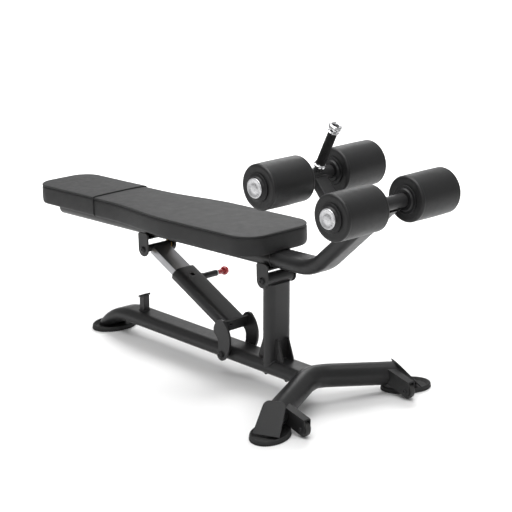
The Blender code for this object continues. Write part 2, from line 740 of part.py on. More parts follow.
def make_handle(knee, carriage):
    """Grip handle that stands on the knee axle, leaning forward."""
    lean = add_empty("handle_line", knee, tilt=HANDLE_LEAN, parent=carriage)
    base = AXLE_RADIUS + 2 * GAP
    tube = turned([(0.0, base + 0.003), (0.0125, base + 0.003), (0.0125, 0.174), (0.0095, 0.174),
                   (0.0095, base + 0.006), (0.0, base + 0.006)], 20, "Z")
    add_object("handle_tube", tube, "paint", parent=lean)
    sleeve = 0.0129
    rings = {
        "handle_collar": ("chrome", [(sleeve, 0.0300), (0.0170, 0.0300), (0.0200, 0.0335), (0.0200, 0.0385),
                                     (0.0172, 0.0435), (sleeve, 0.0435)]),
        "handle_grip": ("rubber", [(sleeve, 0.0440), (0.0155, 0.0440), (0.0148, 0.0500), (0.0148, 0.1540),
                                   (0.0155, 0.1595), (sleeve, 0.1595)]),
        "handle_end_ring": ("chrome", [(sleeve, 0.1600), (0.0165, 0.1600), (0.0175, 0.1625), (0.0160, 0.1660),
                                       (0.0205, 0.1715), (0.0214, 0.1780), (0.0190, 0.1850), (0.0130, 0.1870),
                                       (0.0106, 0.1820), (0.0106, 0.1745), (sleeve, 0.1745)]),
    }
    for name, (kind, profile) in rings.items():
        add_object(name, turned(profile, 20, "Z"), kind, parent=lean)
    plug = [(0, 0.1745), (0.0102, 0.1745), (0.0102, 0.1800), (0.0070, 0.1825), (0, 0.1830)]
    add_object("handle_plug", turned(plug, 16, "Z"), "plastic", parent=lean)


def make_carriage():
    carriage = add_empty("seat_pivot", (POST_X, 0, PIVOT_Z), tilt=-PAD_TILT)
    make_pad(carriage)
    make_arm(carriage)
    dx, dz = STRUT_TOP[0] - POST_X, STRUT_TOP[1] - PIVOT_Z
    pin_u = dx * math.cos(PAD_TILT) + dz * math.sin(PAD_TILT)
    pin_w = -dx * math.sin(PAD_TILT) + dz * math.cos(PAD_TILT)
    hinge_bracket("pivot_bracket", 0.0, 0.0, carriage)
    hinge_bracket("strut_bracket", pin_u, pin_w, carriage)
    add_object("seat_pivot_pin", headed_bolt(0.0062, 0.0115, PLATE_OUT + GAP, 0.007), "dark_steel", parent=carriage)
    add_object("strut_top_pin", headed_bolt(0.0050, 0.0105, PLATE_OUT + GAP, 0.006), "dark_steel",
               at=(pin_u, 0, pin_w), parent=carriage)
    knee = make_knee_post(carriage)
    ankle = Vector((ANKLE[0], 0, ANKLE[1]))
    for row, centre in (("knee", knee), ("ankle", ankle)):
        make_axle(row + "_axle", centre, carriage)
        for label, sign in (("left", 1), ("right", -1)):
            make_roller("%s_roller_%s" % (row, label), centre, sign, carriage)
    make_handle(knee, carriage)


# ---------------------------------------------------------------- the telescopic strut
def make_yoke():
    """Crescent cheeks and a cross plate that carry the strut's sleeve round its foot pin."""
    foot_x, foot_z = STRUT_FOOT
    outline = arc((0.058, 0.125), 0.085, 68, -34, 12)
    outline += arc((foot_x, foot_z), 0.0215, -40, -190, 7)
    outline += [(0.0865, 0.100), (0.0870, 0.116), (0.0800, 0.131), (0.0650, 0.144), (0.0640, 0.160),
                (0.0740, 0.181)]
    outline = [(x - foot_x, z - foot_z) for x, z in outline]
    pivot = add_empty("strut_foot_pivot", (foot_x, 0, foot_z))
    inner, outer = 0.0580, 0.0660
    yoke = add_object("strut_yoke", slab(outline, -outer, -inner), "paint", parent=pivot)
    far = add_object("strut_yoke_far_cheek", slab(outline, inner, outer), "paint", parent=pivot)
    line = add_empty("strut_line", (STRUT_TOP[0] - foot_x, 0, STRUT_TOP[1] - foot_z), STRUT_SLOPE, pivot)
    plate = block((SLEEVE_END + GAP, -inner - 0.004, -0.0235), (SLEEVE_END + 0.0065, inner + 0.004, 0.0245))
    plate = add_object("strut_yoke_plate", plate, "paint", parent=line)
    hole = add_object("strut_yoke_hole", rod(0.0065, -0.1, 0.1), "paint", parent=pivot)
    vent = add_object("strut_yoke_vent", rod(0.0035, SLEEVE_END - 0.02, SLEEVE_END + 0.03, 12, "X"), "paint",
                      at=(0, -0.018, 0.006), parent=line)
    boolean(yoke, plate, "UNION")
    boolean(yoke, far, "UNION")
    boolean(yoke, hole)
    boolean(yoke, vent)
    return line


def run_along_x(start, end, outline, hole=None):
    side, up = Vector((0, 1, 0)), Vector((0, 0, 1))
    stations = [(Vector((start, 0, 0)), side, up), (Vector((end, 0, 0)), side, up)]
    return tube_mesh(stations, outline, hole)


def make_sleeve(line):
    outer = flat_oval(TUBE_WIDTH, TUBE_HEIGHT)
    inner = flat_oval(TUBE_WIDTH - 2 * WALL, TUBE_HEIGHT - 2 * WALL)
    sleeve = add_object("strut_sleeve", run_along_x(SLEEVE_START, SLEEVE_END, outer, inner), "paint", parent=line)
    side_hole = add_object("sleeve_side_hole", rod(0.0056, 0.02, 0.08), "paint", at=(PULL_PIN_AT, 0, 0), parent=line)
    top_hole = add_object("sleeve_top_hole", rod(0.0075, 0.01, 0.05, 16, "Z"), "paint", at=(PULL_PIN_AT, 0, 0),
                          parent=line)
    boolean(sleeve, side_hole)
    boolean(sleeve, top_hole)
    guide_outer = flat_oval(TUBE_WIDTH - 2 * WALL - 2 * GAP, TUBE_HEIGHT - 2 * WALL - 2 * GAP)
    guide = run_along_x(SLEEVE_START + 0.0005, SLEEVE_START + 0.026, guide_outer)
    guide = add_object("sleeve_guide", guide, "plastic", parent=line)
    way = add_object("sleeve_guide_way", run_along_x(0.10, 0.21, rectangle(0.0712, 0.0308)), "plastic", parent=line)
    boolean(guide, way)


def make_inner_tube(line):
    """The sliding half: a cross tube round the top pin, welded to a rectangular tube with notch holes."""
    tube = run_along_x(0.0085, INNER_END, rectangle(0.070, 0.030), rectangle(0.064, 0.024))
    inner = add_object("strut_inner_tube", tube, "steel", parent=line)
    for i in range(5):
        notch = add_object("notch_%d" % i, rod(0.0056, 0.025, 0.045, 12), "steel",
                           at=(PULL_PIN_AT - i * PULL_PIN_PITCH, 0, 0), tilt=math.radians(7), parent=line)
        boolean(inner, notch)
    turn = math.radians(5)
    head = add_object("strut_top_tube", rod(0.0125, -0.050, 0.050, 20), "steel", tilt=turn, parent=line)
    head_bore = add_object("strut_top_bore", rod(0.0105, -0.06, 0.06, 20), "steel", tilt=turn, parent=line)
    boolean(inner, head, "UNION")
    boolean(inner, head_bore)


def make_pull_pin(line):
    """Pull pin on the sleeve's far side: a threaded barrel and a plunger with a ball knob."""
    place = add_empty("pull_pin_axis", (PULL_PIN_AT, 0, 0), parent=line)
    barrel = [(0.0053, 0.0503), (0.0130, 0.0503), (0.0130, 0.0560), (0.0110, 0.0580), (0.0110, 0.1180),
              (0.0095, 0.1200), (0.0053, 0.1200)]
    add_object("pull_pin_barrel", turned(barrel, 24), "plastic", parent=place)
    ball, ball_at = 0.0155, 0.1545
    knob = [(0, 0.0360), (0.0040, 0.0375), (0.0048, 0.0390), (0.0048, 0.1204), (0.0075, 0.1204),
            (0.0085, 0.1300)]
    knob += [(r, ball_at + a) for a, r in reversed(arc((0, 0), ball, 12, 145, 8))]
    knob += [(0, ball_at + ball)]
    add_object("pull_knob", turned(knob, 24), "red", parent=place)


def make_strut():
    line = make_yoke()
    make_sleeve(line)
    make_inner_tube(line)
    make_pull_pin(line)


clear_scene()
make_frame()
make_carriage()
make_strut()
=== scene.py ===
"""Visual model of the adjustable decline bench, over its CAD frame."""

import math

import bmesh
import bpy
from mathutils import Matrix, Vector, noise


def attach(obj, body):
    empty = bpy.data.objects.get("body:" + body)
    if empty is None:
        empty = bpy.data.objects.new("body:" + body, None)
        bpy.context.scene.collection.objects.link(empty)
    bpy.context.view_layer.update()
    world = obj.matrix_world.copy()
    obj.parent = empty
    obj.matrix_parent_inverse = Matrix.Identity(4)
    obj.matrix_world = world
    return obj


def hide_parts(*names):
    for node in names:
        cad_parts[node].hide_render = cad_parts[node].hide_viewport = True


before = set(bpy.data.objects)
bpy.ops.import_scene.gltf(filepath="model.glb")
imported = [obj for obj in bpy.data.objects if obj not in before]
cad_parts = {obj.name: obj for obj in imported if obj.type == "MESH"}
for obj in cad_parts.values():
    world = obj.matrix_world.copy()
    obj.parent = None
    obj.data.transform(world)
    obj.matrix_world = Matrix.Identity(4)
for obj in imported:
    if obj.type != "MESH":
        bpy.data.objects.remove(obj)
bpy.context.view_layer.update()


# ---------------------------------------------------------------- driving dimensions
SIDES = (("left", 1), ("right", -1))            # the left side of the bench is +Y
GAP = 0.0003                    # left between two pieces that touch
WALL = 0.003                    # wall of every frame tube
TUBE_WIDTH = 0.100              # flat-oval main tube, across the bench
TUBE_HEIGHT = 0.050             # flat-oval main tube, other way
HALF_HEIGHT = TUBE_HEIGHT / 2
FLAT_HALF = (TUBE_WIDTH - TUBE_HEIGHT) / 2      # half of the flat part of that tube

POST_X = 0.296                  # upright post and the pad's tilt axis
POST_TOP = 0.3575
PIVOT_Z = 0.373
PAD_TILT = math.radians(2.0)    # head end lower at rest

SPINE_Z = 0.075
SPINE_BEND_START = -0.414
SPINE_BEND_RADIUS = 0.200
REAR_FOOT_X = -0.548
REAR_FOOT_HALF = (0.064, 0.0885)

LEG_APEX_X = 0.4533             # where the two straight legs would cross
LEG_APEX_Z = 0.079
LEG_SPREAD = math.radians(66)   # each leg from +X
LEG_DROP = 0.083                # fall per metre of leg
LEG_RADIUS = 0.038
LEG_BEND_RADIUS = 0.15
FOOT_REACH = 0.3322             # leg apex to foot centre
FOOT_HALF = (0.0855, 0.060)
FOOT_HEIGHT = 0.016

STRUT_TOP = (-0.2985, 0.3506)   # X and Z of the pin under the pad
STRUT_FOOT = (0.101, 0.075)     # X and Z of the pin through the spine
STRUT_SLOPE = math.radians(25.54)
SLEEVE_START = 0.1496           # distances down the strut from its top pin
SLEEVE_END = 0.4294
INNER_END = 0.3034
PULL_PIN_AT = 0.1905
PULL_PIN_PITCH = 0.0303

PAD_TOP = 0.1595                # heights above the tilt axis, in the pad's own tilted frame
PAD_THICKNESS = 0.067
PAD_CROWN = 0.0022              # rise of the padding over its edges
PAD_HEAD = -1.1364
PAD_SEAM = -0.7919
PAD_SEAT = 0.0370
HEAD_HALF_WIDTH = 0.117
SEAT_HALF_WIDTH = 0.1525
SHOULDER = (-0.700, -0.360)     # where the pad begins to widen, and where it has its full width
COVER = 0.003                   # wear cover over the head end
PAD_BOTTOM = PAD_TOP - PAD_THICKNESS
BACKBONE_W = PAD_BOTTOM - GAP - HALF_HEIGHT
BACKBONE_END = -1.085

ANKLE = (0.4899, 0.3181)        # in the pad's frame
ARM_RISE = math.radians(40.3)
KNEE_ALONG_ARM = 0.2031         # back down the arm from the ankle axle
KNEE_OFF_ARM = 0.2307           # and square off it
ARM_BEND_RADIUS = 0.150
HANDLE_LEAN = math.radians(28.4)

ROLLER_RADIUS = 0.0715
ROLLER_NEAR = 0.0700            # inner and outer ends of each roller
ROLLER_FAR = 0.2440
PLATE_IN = 0.0585               # inner and outer faces of the hinge brackets
PLATE_OUT = 0.0645
BRACKET_HALF = 0.014            # half width of the wheel channel
WHEEL_RADIUS = 0.025
WHEEL_AT = (0.660, 0.233, 0.027)
END_TOP = (0.293, 0.0885)       # reach and height of the sloped leg end
END_FOOT = (0.359, 0.0175)
HOUSING_RADIUS = 0.0215
AXLE_RADIUS = 0.0215
SHAFT_RADIUS = 0.0125
AXLE_END = 0.0600
SHAFT_END = 0.2538


def arc(centre, radius, start, end, steps):
    """Points on an arc, angles in degrees, both ends included."""
    points = []
    for i in range(steps + 1):
        angle = math.radians(start + (end - start) * i / steps)
        points.append((centre[0] + radius * math.cos(angle), centre[1] + radius * math.sin(angle)))
    return points


def flat_oval(width, height):
    offset, steps = (width - height) / 2, 18
    return arc((offset, 0), height / 2, -90, 90, steps) + arc((-offset, 0), height / 2, 90, 270, steps)


def circle(radius, steps=56):
    return arc((0, 0), radius, 0, 360, steps)[:-1]


def rounded_rectangle(width, height, radius):
    x, y = width / 2 - radius, height / 2 - radius
    points = []
    for cx, cy, start in ((x, -y, -90), (x, y, 0), (-x, y, 90), (-x, -y, 180)):
        points += arc((cx, cy), radius, start, start + 90, 6)
    return points


def bridge_rings(bm, rings, closed=False):
    """Quads between neighbouring rings of vertices; each ring is a closed loop."""
    pairs = list(zip(rings, rings[1:]))
    if closed:
        pairs.append((rings[-1], rings[0]))
    for first, second in pairs:
        count = len(first)
        for i in range(count):
            j = (i + 1) % count
            bm.faces.new((first[i], first[j], second[j], second[i]))


def capped_rings(bm, rings):
    bridge_rings(bm, rings)
    bm.faces.new(rings[0])
    bm.faces.new(rings[-1])
    return bm


def tube_mesh(stations, outer, inner=None, trim=None):
    """Sweep an outline along stations (centre, side, up). With an inner outline it is a hollow tube.

    trim moves a point of the first or last ring: trim(end, point) gives the new point."""
    bm = bmesh.new()

    def rings(outline):
        made = []
        for k, (centre, side, up) in enumerate(stations):
            ring = []
            for u, v in outline:
                point = centre + side * u + up * v
                if trim and k in (0, len(stations) - 1):
                    point = trim(0 if k == 0 else 1, point)
                ring.append(bm.verts.new(point))
            made.append(ring)
        return made

    outside = rings(outer)
    if inner is None:
        return capped_rings(bm, outside)
    bridge_rings(bm, outside)
    inside = rings(inner)
    bridge_rings(bm, inside)
    for end in (0, -1):
        bridge_rings(bm, [outside[end], inside[end]])
    return bm


def straight_stations(start, end):
    """Stations of a straight run in the XZ plane, with the outline's width along Y."""
    start = Vector(start)
    end = Vector(end)
    forward = (end - start).normalized()
    side = Vector((0, 1, 0))
    up = forward.cross(side)
    if up.z < 0 or (abs(up.z) < 1e-6 and up.x < 0):
        up = -up
    return [(start, side, up), (end, side, up)]


def bent_stations(points, radius, steps):
    """Stations along start, corner, end in the XZ plane, with a round bend at the corner."""
    start, corner, end = (Vector((x, 0, z)) for x, z in points)
    first = (corner - start).normalized()
    second = (end - corner).normalized()
    turn = first.angle(second)
    reach = radius * math.tan(turn / 2)
    begin = corner - first * reach
    side = Vector((0, 1, 0))
    lift = (second - first * first.dot(second)).normalized()
    centre = begin + lift * radius
    sign = 1 if lift.z > 0 else -1
    stations = [(start, side, lift * sign)]
    for i in range(steps + 1):
        angle = turn * i / steps
        outward = -lift * math.cos(angle) + first * math.sin(angle)
        stations.append((centre + outward * radius, side, -outward * sign))
    square = second.cross(side)
    if square.dot(stations[-1][2]) < 0:
        square = -square
    stations.append((end, side, square))
    return stations


def turned(profile, segments=64, axis="Y"):
    """A body of revolution about Y, X or Z. The profile is (radius, along) points; radius 0 closes an end."""
    bm = bmesh.new()
    loops = []
    for radius, along in profile:
        ring = []
        count = segments if radius > 0 else 1
        for i in range(count):
            angle = 2 * math.pi * i / segments
            across, high = radius * math.cos(angle), radius * math.sin(angle)
            place = {"Y": (across, along, high), "X": (along, across, high), "Z": (across, high, along)}[axis]
            ring.append(bm.verts.new(place))
        loops.append(ring)
    hollow = profile[0][0] > 0
    pairs = list(zip(loops, loops[1:]))
    if hollow:
        pairs.append((loops[-1], loops[0]))
    for first, second in pairs:
        for i in range(segments):
            j = (i + 1) % segments
            corners = [ring[k % len(ring)] for ring, k in ((first, i), (first, j), (second, j), (second, i))]
            corners = list(dict.fromkeys(corners))
            if len(corners) > 2:
                bm.faces.new(corners)
    return bm


def slab(outline, low, high, plane="XZ"):
    """An outline in the XZ or XY plane, extruded along the third axis from low to high."""
    bm = bmesh.new()
    rings = []
    for level in (low, high):
        if plane == "XZ":
            rings.append([bm.verts.new((u, level, v)) for u, v in outline])
        else:
            rings.append([bm.verts.new((u, v, level)) for u, v in outline])
    return capped_rings(bm, rings)


def block(low, high):
    outline = [(low[0], low[2]), (high[0], low[2]), (high[0], high[2]), (low[0], high[2])]
    return slab(outline, low[1], high[1])


def leg_point(reach, sign):
    """A point on a leg's centre line; sign is +1 on the left (+Y) and -1 on the right."""
    return Vector((
        LEG_APEX_X + reach * math.cos(LEG_SPREAD),
        sign * reach * math.sin(LEG_SPREAD),
        LEG_APEX_Z - LEG_DROP * reach,
    ))


def leg_frame(sign):
    forward = Vector((math.cos(LEG_SPREAD), sign * math.sin(LEG_SPREAD), -LEG_DROP)).normalized()
    side = forward.cross(Vector((0, 0, 1))).normalized()
    return forward, side, side.cross(forward)


def leg_end_plane(sign):
    top = leg_point(END_TOP[0], sign)
    top.z = END_TOP[1]
    foot = leg_point(END_FOOT[0], sign)
    foot.z = END_FOOT[1]
    down = (foot - top).normalized()
    side = leg_frame(sign)[1]
    normal = side.cross(down)
    return top, -normal if normal.z < 0 else normal


def to_leg_end(point, sign, inset=0.0):
    """The point moved along its leg onto the sloped end, or an inset short of it."""
    top, normal = leg_end_plane(sign)
    forward = leg_frame(sign)[0]
    return point + forward * ((top - normal * inset - point).dot(normal) / forward.dot(normal))


def leg_stations():
    """From the right foot, round the bend on the bench's centre line, to the left foot."""
    turn = math.pi - 2 * LEG_SPREAD
    reach = LEG_BEND_RADIUS * math.tan(turn / 2)
    centre_x = LEG_APEX_X + LEG_BEND_RADIUS / math.cos(turn / 2)
    stations = []
    right, left = leg_frame(-1), leg_frame(1)
    stations.append((leg_point(END_FOOT[0], -1), right[1] * -1, right[2]))
    stations.append((leg_point(reach, -1), right[1] * -1, right[2]))
    steps = 16
    for i in range(1, steps):
        angle = -turn / 2 + turn * i / steps
        drop = LEG_DROP * reach * abs(angle) / (turn / 2)
        outward = Vector((-math.cos(angle), math.sin(angle), 0))
        centre = Vector((centre_x, 0, LEG_APEX_Z - drop)) + outward * LEG_BEND_RADIUS
        stations.append((centre, -outward, Vector((0, 0, 1))))
    stations.append((leg_point(reach, 1), left[1], left[2]))
    stations.append((leg_point(END_FOOT[0], 1), left[1], left[2]))
    return stations


def pad_outline():
    """Left half of the pad's outline in plan: a wide seat, a soft shoulder and a narrow head."""
    seat_radius, head_radius, corner_steps, shoulder_steps, longest = 0.085, 0.070, 12, 18, 0.010
    points = arc((PAD_SEAT - seat_radius, SEAT_HALF_WIDTH - seat_radius), seat_radius, 0, 90, corner_steps)
    for i in range(shoulder_steps + 1):
        t = i / shoulder_steps
        ease = t * t * (3 - 2 * t)
        along = SHOULDER[1] + (SHOULDER[0] - SHOULDER[1]) * t
        points.append((along, SEAT_HALF_WIDTH + (HEAD_HALF_WIDTH - SEAT_HALF_WIDTH) * ease))
    points += arc((PAD_HEAD + COVER + head_radius, HEAD_HALF_WIDTH - head_radius), head_radius, 90, 180, corner_steps)
    dense = []
    for a, b in zip(points, points[1:]):
        steps = max(1, int(math.dist(a, b) / longest))
        dense += [(a[0] + (b[0] - a[0]) * k / steps, a[1] + (b[1] - a[1]) * k / steps) for k in range(steps)]
    return dense + [points[-1]]


def arm_point(along, off=0.0):
    """A point beside the rising arm: along is measured down from the ankle axle, off is square to it."""
    c, s = math.cos(ARM_RISE), math.sin(ARM_RISE)
    return Vector((ANKLE[0] - along * c - off * s, 0, ANKLE[1] - along * s + off * c))


# ---------------------------------------------------------------- materials
def node(tree, kind, **settings):
    """A shader node with its inputs and properties set; an input's spaces are written as underscores."""
    made = tree.nodes.new(kind)
    for key, value in settings.items():
        label = key.replace("_", " ")
        if label in made.inputs:
            made.inputs[label].default_value = value
        else:
            setattr(made, key, value)
    return made


def link(tree, start, out, end, into):
    tree.links.new(start.outputs[out], end.inputs[into])


WORN_EDGE = (0.07, 0.07, 0.072, 1)


def surface(name, dark, light, rough, metallic=0.0, grain=900.0, bump=0.00008, cells=False, stretch=(1, 1, 1),
            patch=9.0, sheen=0.0, coat=0.0, specular=0.5, edge_wear=0.0):
    """A finish with cloudy colour, uneven gloss, a fine grain in relief and, if wanted, worn edges.

    dark and light are (red, green, blue), or (grey, blue)."""
    material = bpy.data.materials.new(name)
    material.use_nodes = True
    tree = material.node_tree
    shader = tree.nodes["Principled BSDF"]
    for label, value in (("Metallic", metallic), ("Sheen Weight", sheen), ("Sheen Roughness", 0.4),
                         ("Coat Weight", coat), ("Coat Roughness", 0.2), ("Specular IOR Level", specular)):
        shader.inputs[label].default_value = value
    place = node(tree, "ShaderNodeTexCoord")
    aim = node(tree, "ShaderNodeMapping", Scale=stretch)
    link(tree, place, "Object", aim, "Vector")
    clouds = node(tree, "ShaderNodeTexNoise", Scale=patch, Detail=5.0, Roughness=0.62)
    link(tree, place, "Object", clouds, "Vector")
    ramp = node(tree, "ShaderNodeValToRGB")
    for stop, position, tone in zip(ramp.color_ramp.elements, (0.35, 0.68), (dark, light)):
        stop.position = position
        stop.color = (tone[0], tone[-2], tone[-1], 1)
    link(tree, clouds, "Fac", ramp, "Fac")
    unevenness = node(tree, "ShaderNodeTexNoise", Scale=patch * 7, Detail=4.0)
    link(tree, aim, "Vector", unevenness, "Vector")
    gloss = node(tree, "ShaderNodeMapRange", From_Min=0.3, From_Max=0.7, To_Min=rough[0], To_Max=rough[1])
    link(tree, unevenness, "Fac", gloss, "Value")
    link(tree, gloss, "Result", shader, "Roughness")
    colour, socket = ramp, "Color"
    if edge_wear > 0:
        worn = node(tree, "ShaderNodeNewGeometry")
        pick = node(tree, "ShaderNodeMapRange", From_Min=0.52, From_Max=0.60, To_Max=edge_wear)
        link(tree, worn, "Pointiness", pick, "Value")
        colour, socket = node(tree, "ShaderNodeMix", data_type="RGBA"), 2
        colour.inputs[7].default_value = WORN_EDGE
        link(tree, pick, "Result", colour, 0)
        link(tree, ramp, "Color", colour, 6)
    link(tree, colour, socket, shader, "Base Color")
    if cells:
        fine, height = node(tree, "ShaderNodeTexVoronoi", Scale=grain), "Distance"
    else:
        fine, height = node(tree, "ShaderNodeTexNoise", Scale=grain, Detail=3.0), "Fac"
    link(tree, aim, "Vector", fine, "Vector")
    relief = node(tree, "ShaderNodeBump", Strength=1.0, Distance=bump)
    link(tree, fine, height, relief, "Height")
    link(tree, relief, "Normal", shader, "Normal")
    return material


PAINT = surface("powder_coat", (0.0096, 0.0099), (0.012, 0.0123), (0.36, 0.44), 0.0, 700, 0.00008, coat=0.05,
                specular=0.34, edge_wear=0.20)
VINYL = surface("pad_vinyl", (0.023, 0.0233), (0.0248, 0.0251), (0.5, 0.58), 0.0, 850, 0.00016, cells=True,
                sheen=0.02, patch=5, specular=0.22)
COVER_VINYL = surface("cover_vinyl", (0.023, 0.0233), (0.0252, 0.0255), (0.5, 0.6), 0.0, 750, 0.00018,
                      cells=True, sheen=0.02, patch=6, specular=0.22)
ROLLER_VINYL = surface("roller_vinyl", (0.0105, 0.0108), (0.0128, 0.0131), (0.38, 0.46), 0.0, 900, 0.00012,
                       cells=True, sheen=0.02, coat=0.03, patch=8, specular=0.30)
THREAD = surface("thread", (0.006, 0.006), (0.014, 0.014), (0.7, 0.85), 0.0, 2500, 0.0001, patch=60)
WELD = surface("painted_weld", (0.012, 0.0125), (0.018, 0.0185), (0.34, 0.48), 0.0, 500, 0.0002, patch=50)
RUBBER = surface("foot_rubber", (0.011, 0.011), (0.018, 0.018), (0.62, 0.8), 0.0, 1100, 0.00018, specular=0.35)
TREAD = surface("wheel_tread", (0.016, 0.016), (0.03, 0.029), (0.5, 0.7), 0.0, 900, 0.0002)
GRIP = surface("grip_rubber", (0.005, 0.005), (0.009, 0.009), (0.55, 0.72), 0.0, 1400, 0.0003, cells=True,
               specular=0.25)
PLASTIC = surface("black_plastic", (0.005, 0.0055), (0.009, 0.0095), (0.34, 0.46), 0.0, 1200, 0.00006,
                  specular=0.30)
NYLON = surface("guide_nylon", (0.01, 0.01), (0.018, 0.018), (0.4, 0.55), 0.0, 800, 0.00006)
CHROME = surface("chrome", (0.62, 0.63), (0.74, 0.75), (0.05, 0.14), 1.0, 300, 0.00002)
CAP_METAL = surface("spun_cap", (0.46, 0.47), (0.66, 0.67), (0.24, 0.4), 0.85, 260, 0.00008, patch=35)
STEEL = surface("sliding_steel", (0.26, 0.27), (0.34, 0.35), (0.28, 0.4), 1.0, 420, 0.00003, stretch=(0.05, 1,
                1), patch=5)
# Dark steel for the bolts and the pin barrel, and also for the strut's cross tube.
DARK_STEEL = surface("dark_steel", (0.01, 0.011), (0.024, 0.025), (0.3, 0.5), 0.5, 900, 0.00005,
                      patch=60, edge_wear=0.4)
ZINC = surface("zinc_pin", (0.3, 0.31), (0.42, 0.42), (0.25, 0.4), 1.0, 900, 0.00004, patch=60)
BRASS = surface("brass_washer", (0.3, 0.2, 0.06), (0.4, 0.28, 0.11), (0.25, 0.4), 1.0, 900, 0.00004, patch=60)
RED = surface("red_knob", (0.3, 0.008, 0.012), (0.4, 0.014, 0.018), (0.18, 0.3), 0.0, 700, 0.00003, coat=0.5)
RING = surface("pale_ring", (0.5, 0.5), (0.66, 0.65), (0.25, 0.4), 0.6, 900, 0.00004, patch=60)
PLY = surface("board_ply", (0.075, 0.05, 0.026), (0.13, 0.09, 0.05), (0.6, 0.8), 0.0, 160, 0.0003,
              stretch=(0.08, 1, 1), patch=12)
FLOOR = surface("pale_floor", (0.7, 0.7), (0.72, 0.72), (0.6, 0.75), 0.0, 40, 0.00002, patch=0.6, specular=0.1)

MATERIALS = {
    "frame_paint": PAINT, "foot_rubber": RUBBER, "cap_rubber": RUBBER, "bolt_black": DARK_STEEL, "pin_steel": ZINC,
    "pad_vinyl": VINYL, "cover_vinyl": COVER_VINYL, "board_wood": PLY, "plug_plastic": PLASTIC, "grip_rubber": GRIP,
    "handle_chrome": CHROME, "wheel_rubber": TREAD, "roller_foam": ROLLER_VINYL, "hub_plastic": PLASTIC,
    "cap_silver": CAP_METAL, "guide_nylon": NYLON, "barrel_black": DARK_STEEL, "strut_steel": STEEL,
    "knob_red": RED,
}


# ---------------------------------------------------------------- pieces
def piece(name, bm, body, slot, nodes=(), place=None, material=None, angle=35, weighted=False):
    """A visible piece from a bmesh: it rides its body and stands for the CAD nodes it replaces."""
    bmesh.ops.remove_doubles(bm, verts=bm.verts, dist=2e-6)
    bmesh.ops.recalc_face_normals(bm, faces=bm.faces)
    mesh = bpy.data.meshes.new(name)
    bm.to_mesh(mesh)
    bm.free()
    mesh.materials.append(material or MATERIALS[slot])
    mesh.shade_smooth()
    mesh.set_sharp_from_angle(angle=math.radians(angle))
    obj = bpy.data.objects.new(name, mesh)
    bpy.context.scene.collection.objects.link(obj)
    if place is not None:
        obj.matrix_world = place
    if weighted:
        modifier = obj.modifiers.new("even_faces", "WEIGHTED_NORMAL")
        modifier.keep_sharp = True
    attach(obj, body)
    if nodes:
        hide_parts(*nodes)
    return obj


def join(*parts):
    """One bmesh out of several."""
    whole = bmesh.new()
    for part in parts:
        spare = bpy.data.meshes.new("spare")
        part.to_mesh(spare)
        part.free()
        whole.from_mesh(spare)
        bpy.data.meshes.remove(spare)
    return whole


def moved(bm, matrix):
    bmesh.ops.transform(bm, matrix=matrix, verts=bm.verts)
    return bm


def soften(bm, offset, segments, limit):
    """Round every edge where the surface turns by more than the limit."""
    sharp = [e for e in bm.edges if len(e.link_faces) == 2 and e.calc_face_angle(0) > limit]
    bmesh.ops.recalc_face_normals(bm, faces=bm.faces)
    bmesh.ops.bevel(bm, geom=sharp, offset=offset, segments=segments, profile=0.5, affect="EDGES",
                    clamp_overlap=True)
    return bm


def refined(cad_node, bevel, segments=3):
    """The CAD piece's own shape with its flat faces whole and its sharp edges rounded."""
    bm = bmesh.new()
    bm.from_mesh(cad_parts[cad_node].data)
    bmesh.ops.remove_doubles(bm, verts=bm.verts, dist=1e-6)
    bmesh.ops.dissolve_limit(bm, angle_limit=math.radians(0.6), verts=bm.verts, edges=bm.edges)
    return soften(bm, bevel, segments, math.radians(28))


def cut(name, bm, *tools):
    """The bmesh with the shapes of other bmeshes cut out of it."""
    objects = []
    for i, part in enumerate((bm, *tools)):
        bmesh.ops.recalc_face_normals(part, faces=part.faces)
        mesh = bpy.data.meshes.new("%s_%d" % (name, i))
        part.to_mesh(mesh)
        part.free()
        objects.append(bpy.data.objects.new(mesh.name, mesh))
        bpy.context.scene.collection.objects.link(objects[-1])
    target = objects[0]
    for tool in objects[1:]:
        modifier = target.modifiers.new("cut", "BOOLEAN")
        modifier.operation = "DIFFERENCE"
        modifier.object = tool
    bpy.context.view_layer.update()
    result = bmesh.new()
    result.from_object(target, bpy.context.evaluated_depsgraph_get())
    for obj in objects:
        mesh = obj.data
        bpy.data.objects.remove(obj, do_unlink=True)
        bpy.data.meshes.remove(mesh)
    return result


def bead(points, radius, closed, ripple=0.18, pitch=0.0045):
    """A weld or hem: a round line along points, gently rippled along its length."""
    dense = []
    sides = 10
    count = len(points)
    for i in range(count if closed else count - 1):
        a, b = Vector(points[i]), Vector(points[(i + 1) % count])
        steps = max(1, int((b - a).length / 0.0016))
        dense += [a.lerp(b, k / steps) for k in range(steps)]
    if not closed:
        dense.append(Vector(points[-1]))
    bm = bmesh.new()
    rings = []
    total = len(dense)
    travelled = 0.0
    reference = Vector((0.13, 0.31, 0.94))
    for i, point in enumerate(dense):
        before = dense[(i - 1) % total] if closed or i else dense[0]
        after = dense[(i + 1) % total] if closed or i < total - 1 else dense[-1]
        forward = (after - before).normalized()
        side = forward.cross(reference).normalized()
        up = side.cross(forward)
        travelled += (point - before).length if i else 0.0
        size = radius * (1 + ripple * math.sin(2 * math.pi * travelled / pitch))
        rings.append([bm.verts.new(point + (side * math.cos(2 * math.pi * k / sides)
                                            + up * math.sin(2 * math.pi * k / sides)) * size) for k in range(sides)])
    if not closed:
        return capped_rings(bm, rings)
    bridge_rings(bm, rings, True)
    return bm


def weld(name, radius, runs, body="base", place=None, closed=False, slot="frame_paint"):
    """Painted weld beads along runs of points."""
    piece("weld_" + name, join(*[bead(run, radius, closed) for run in runs]), body, slot, (), place, WELD)


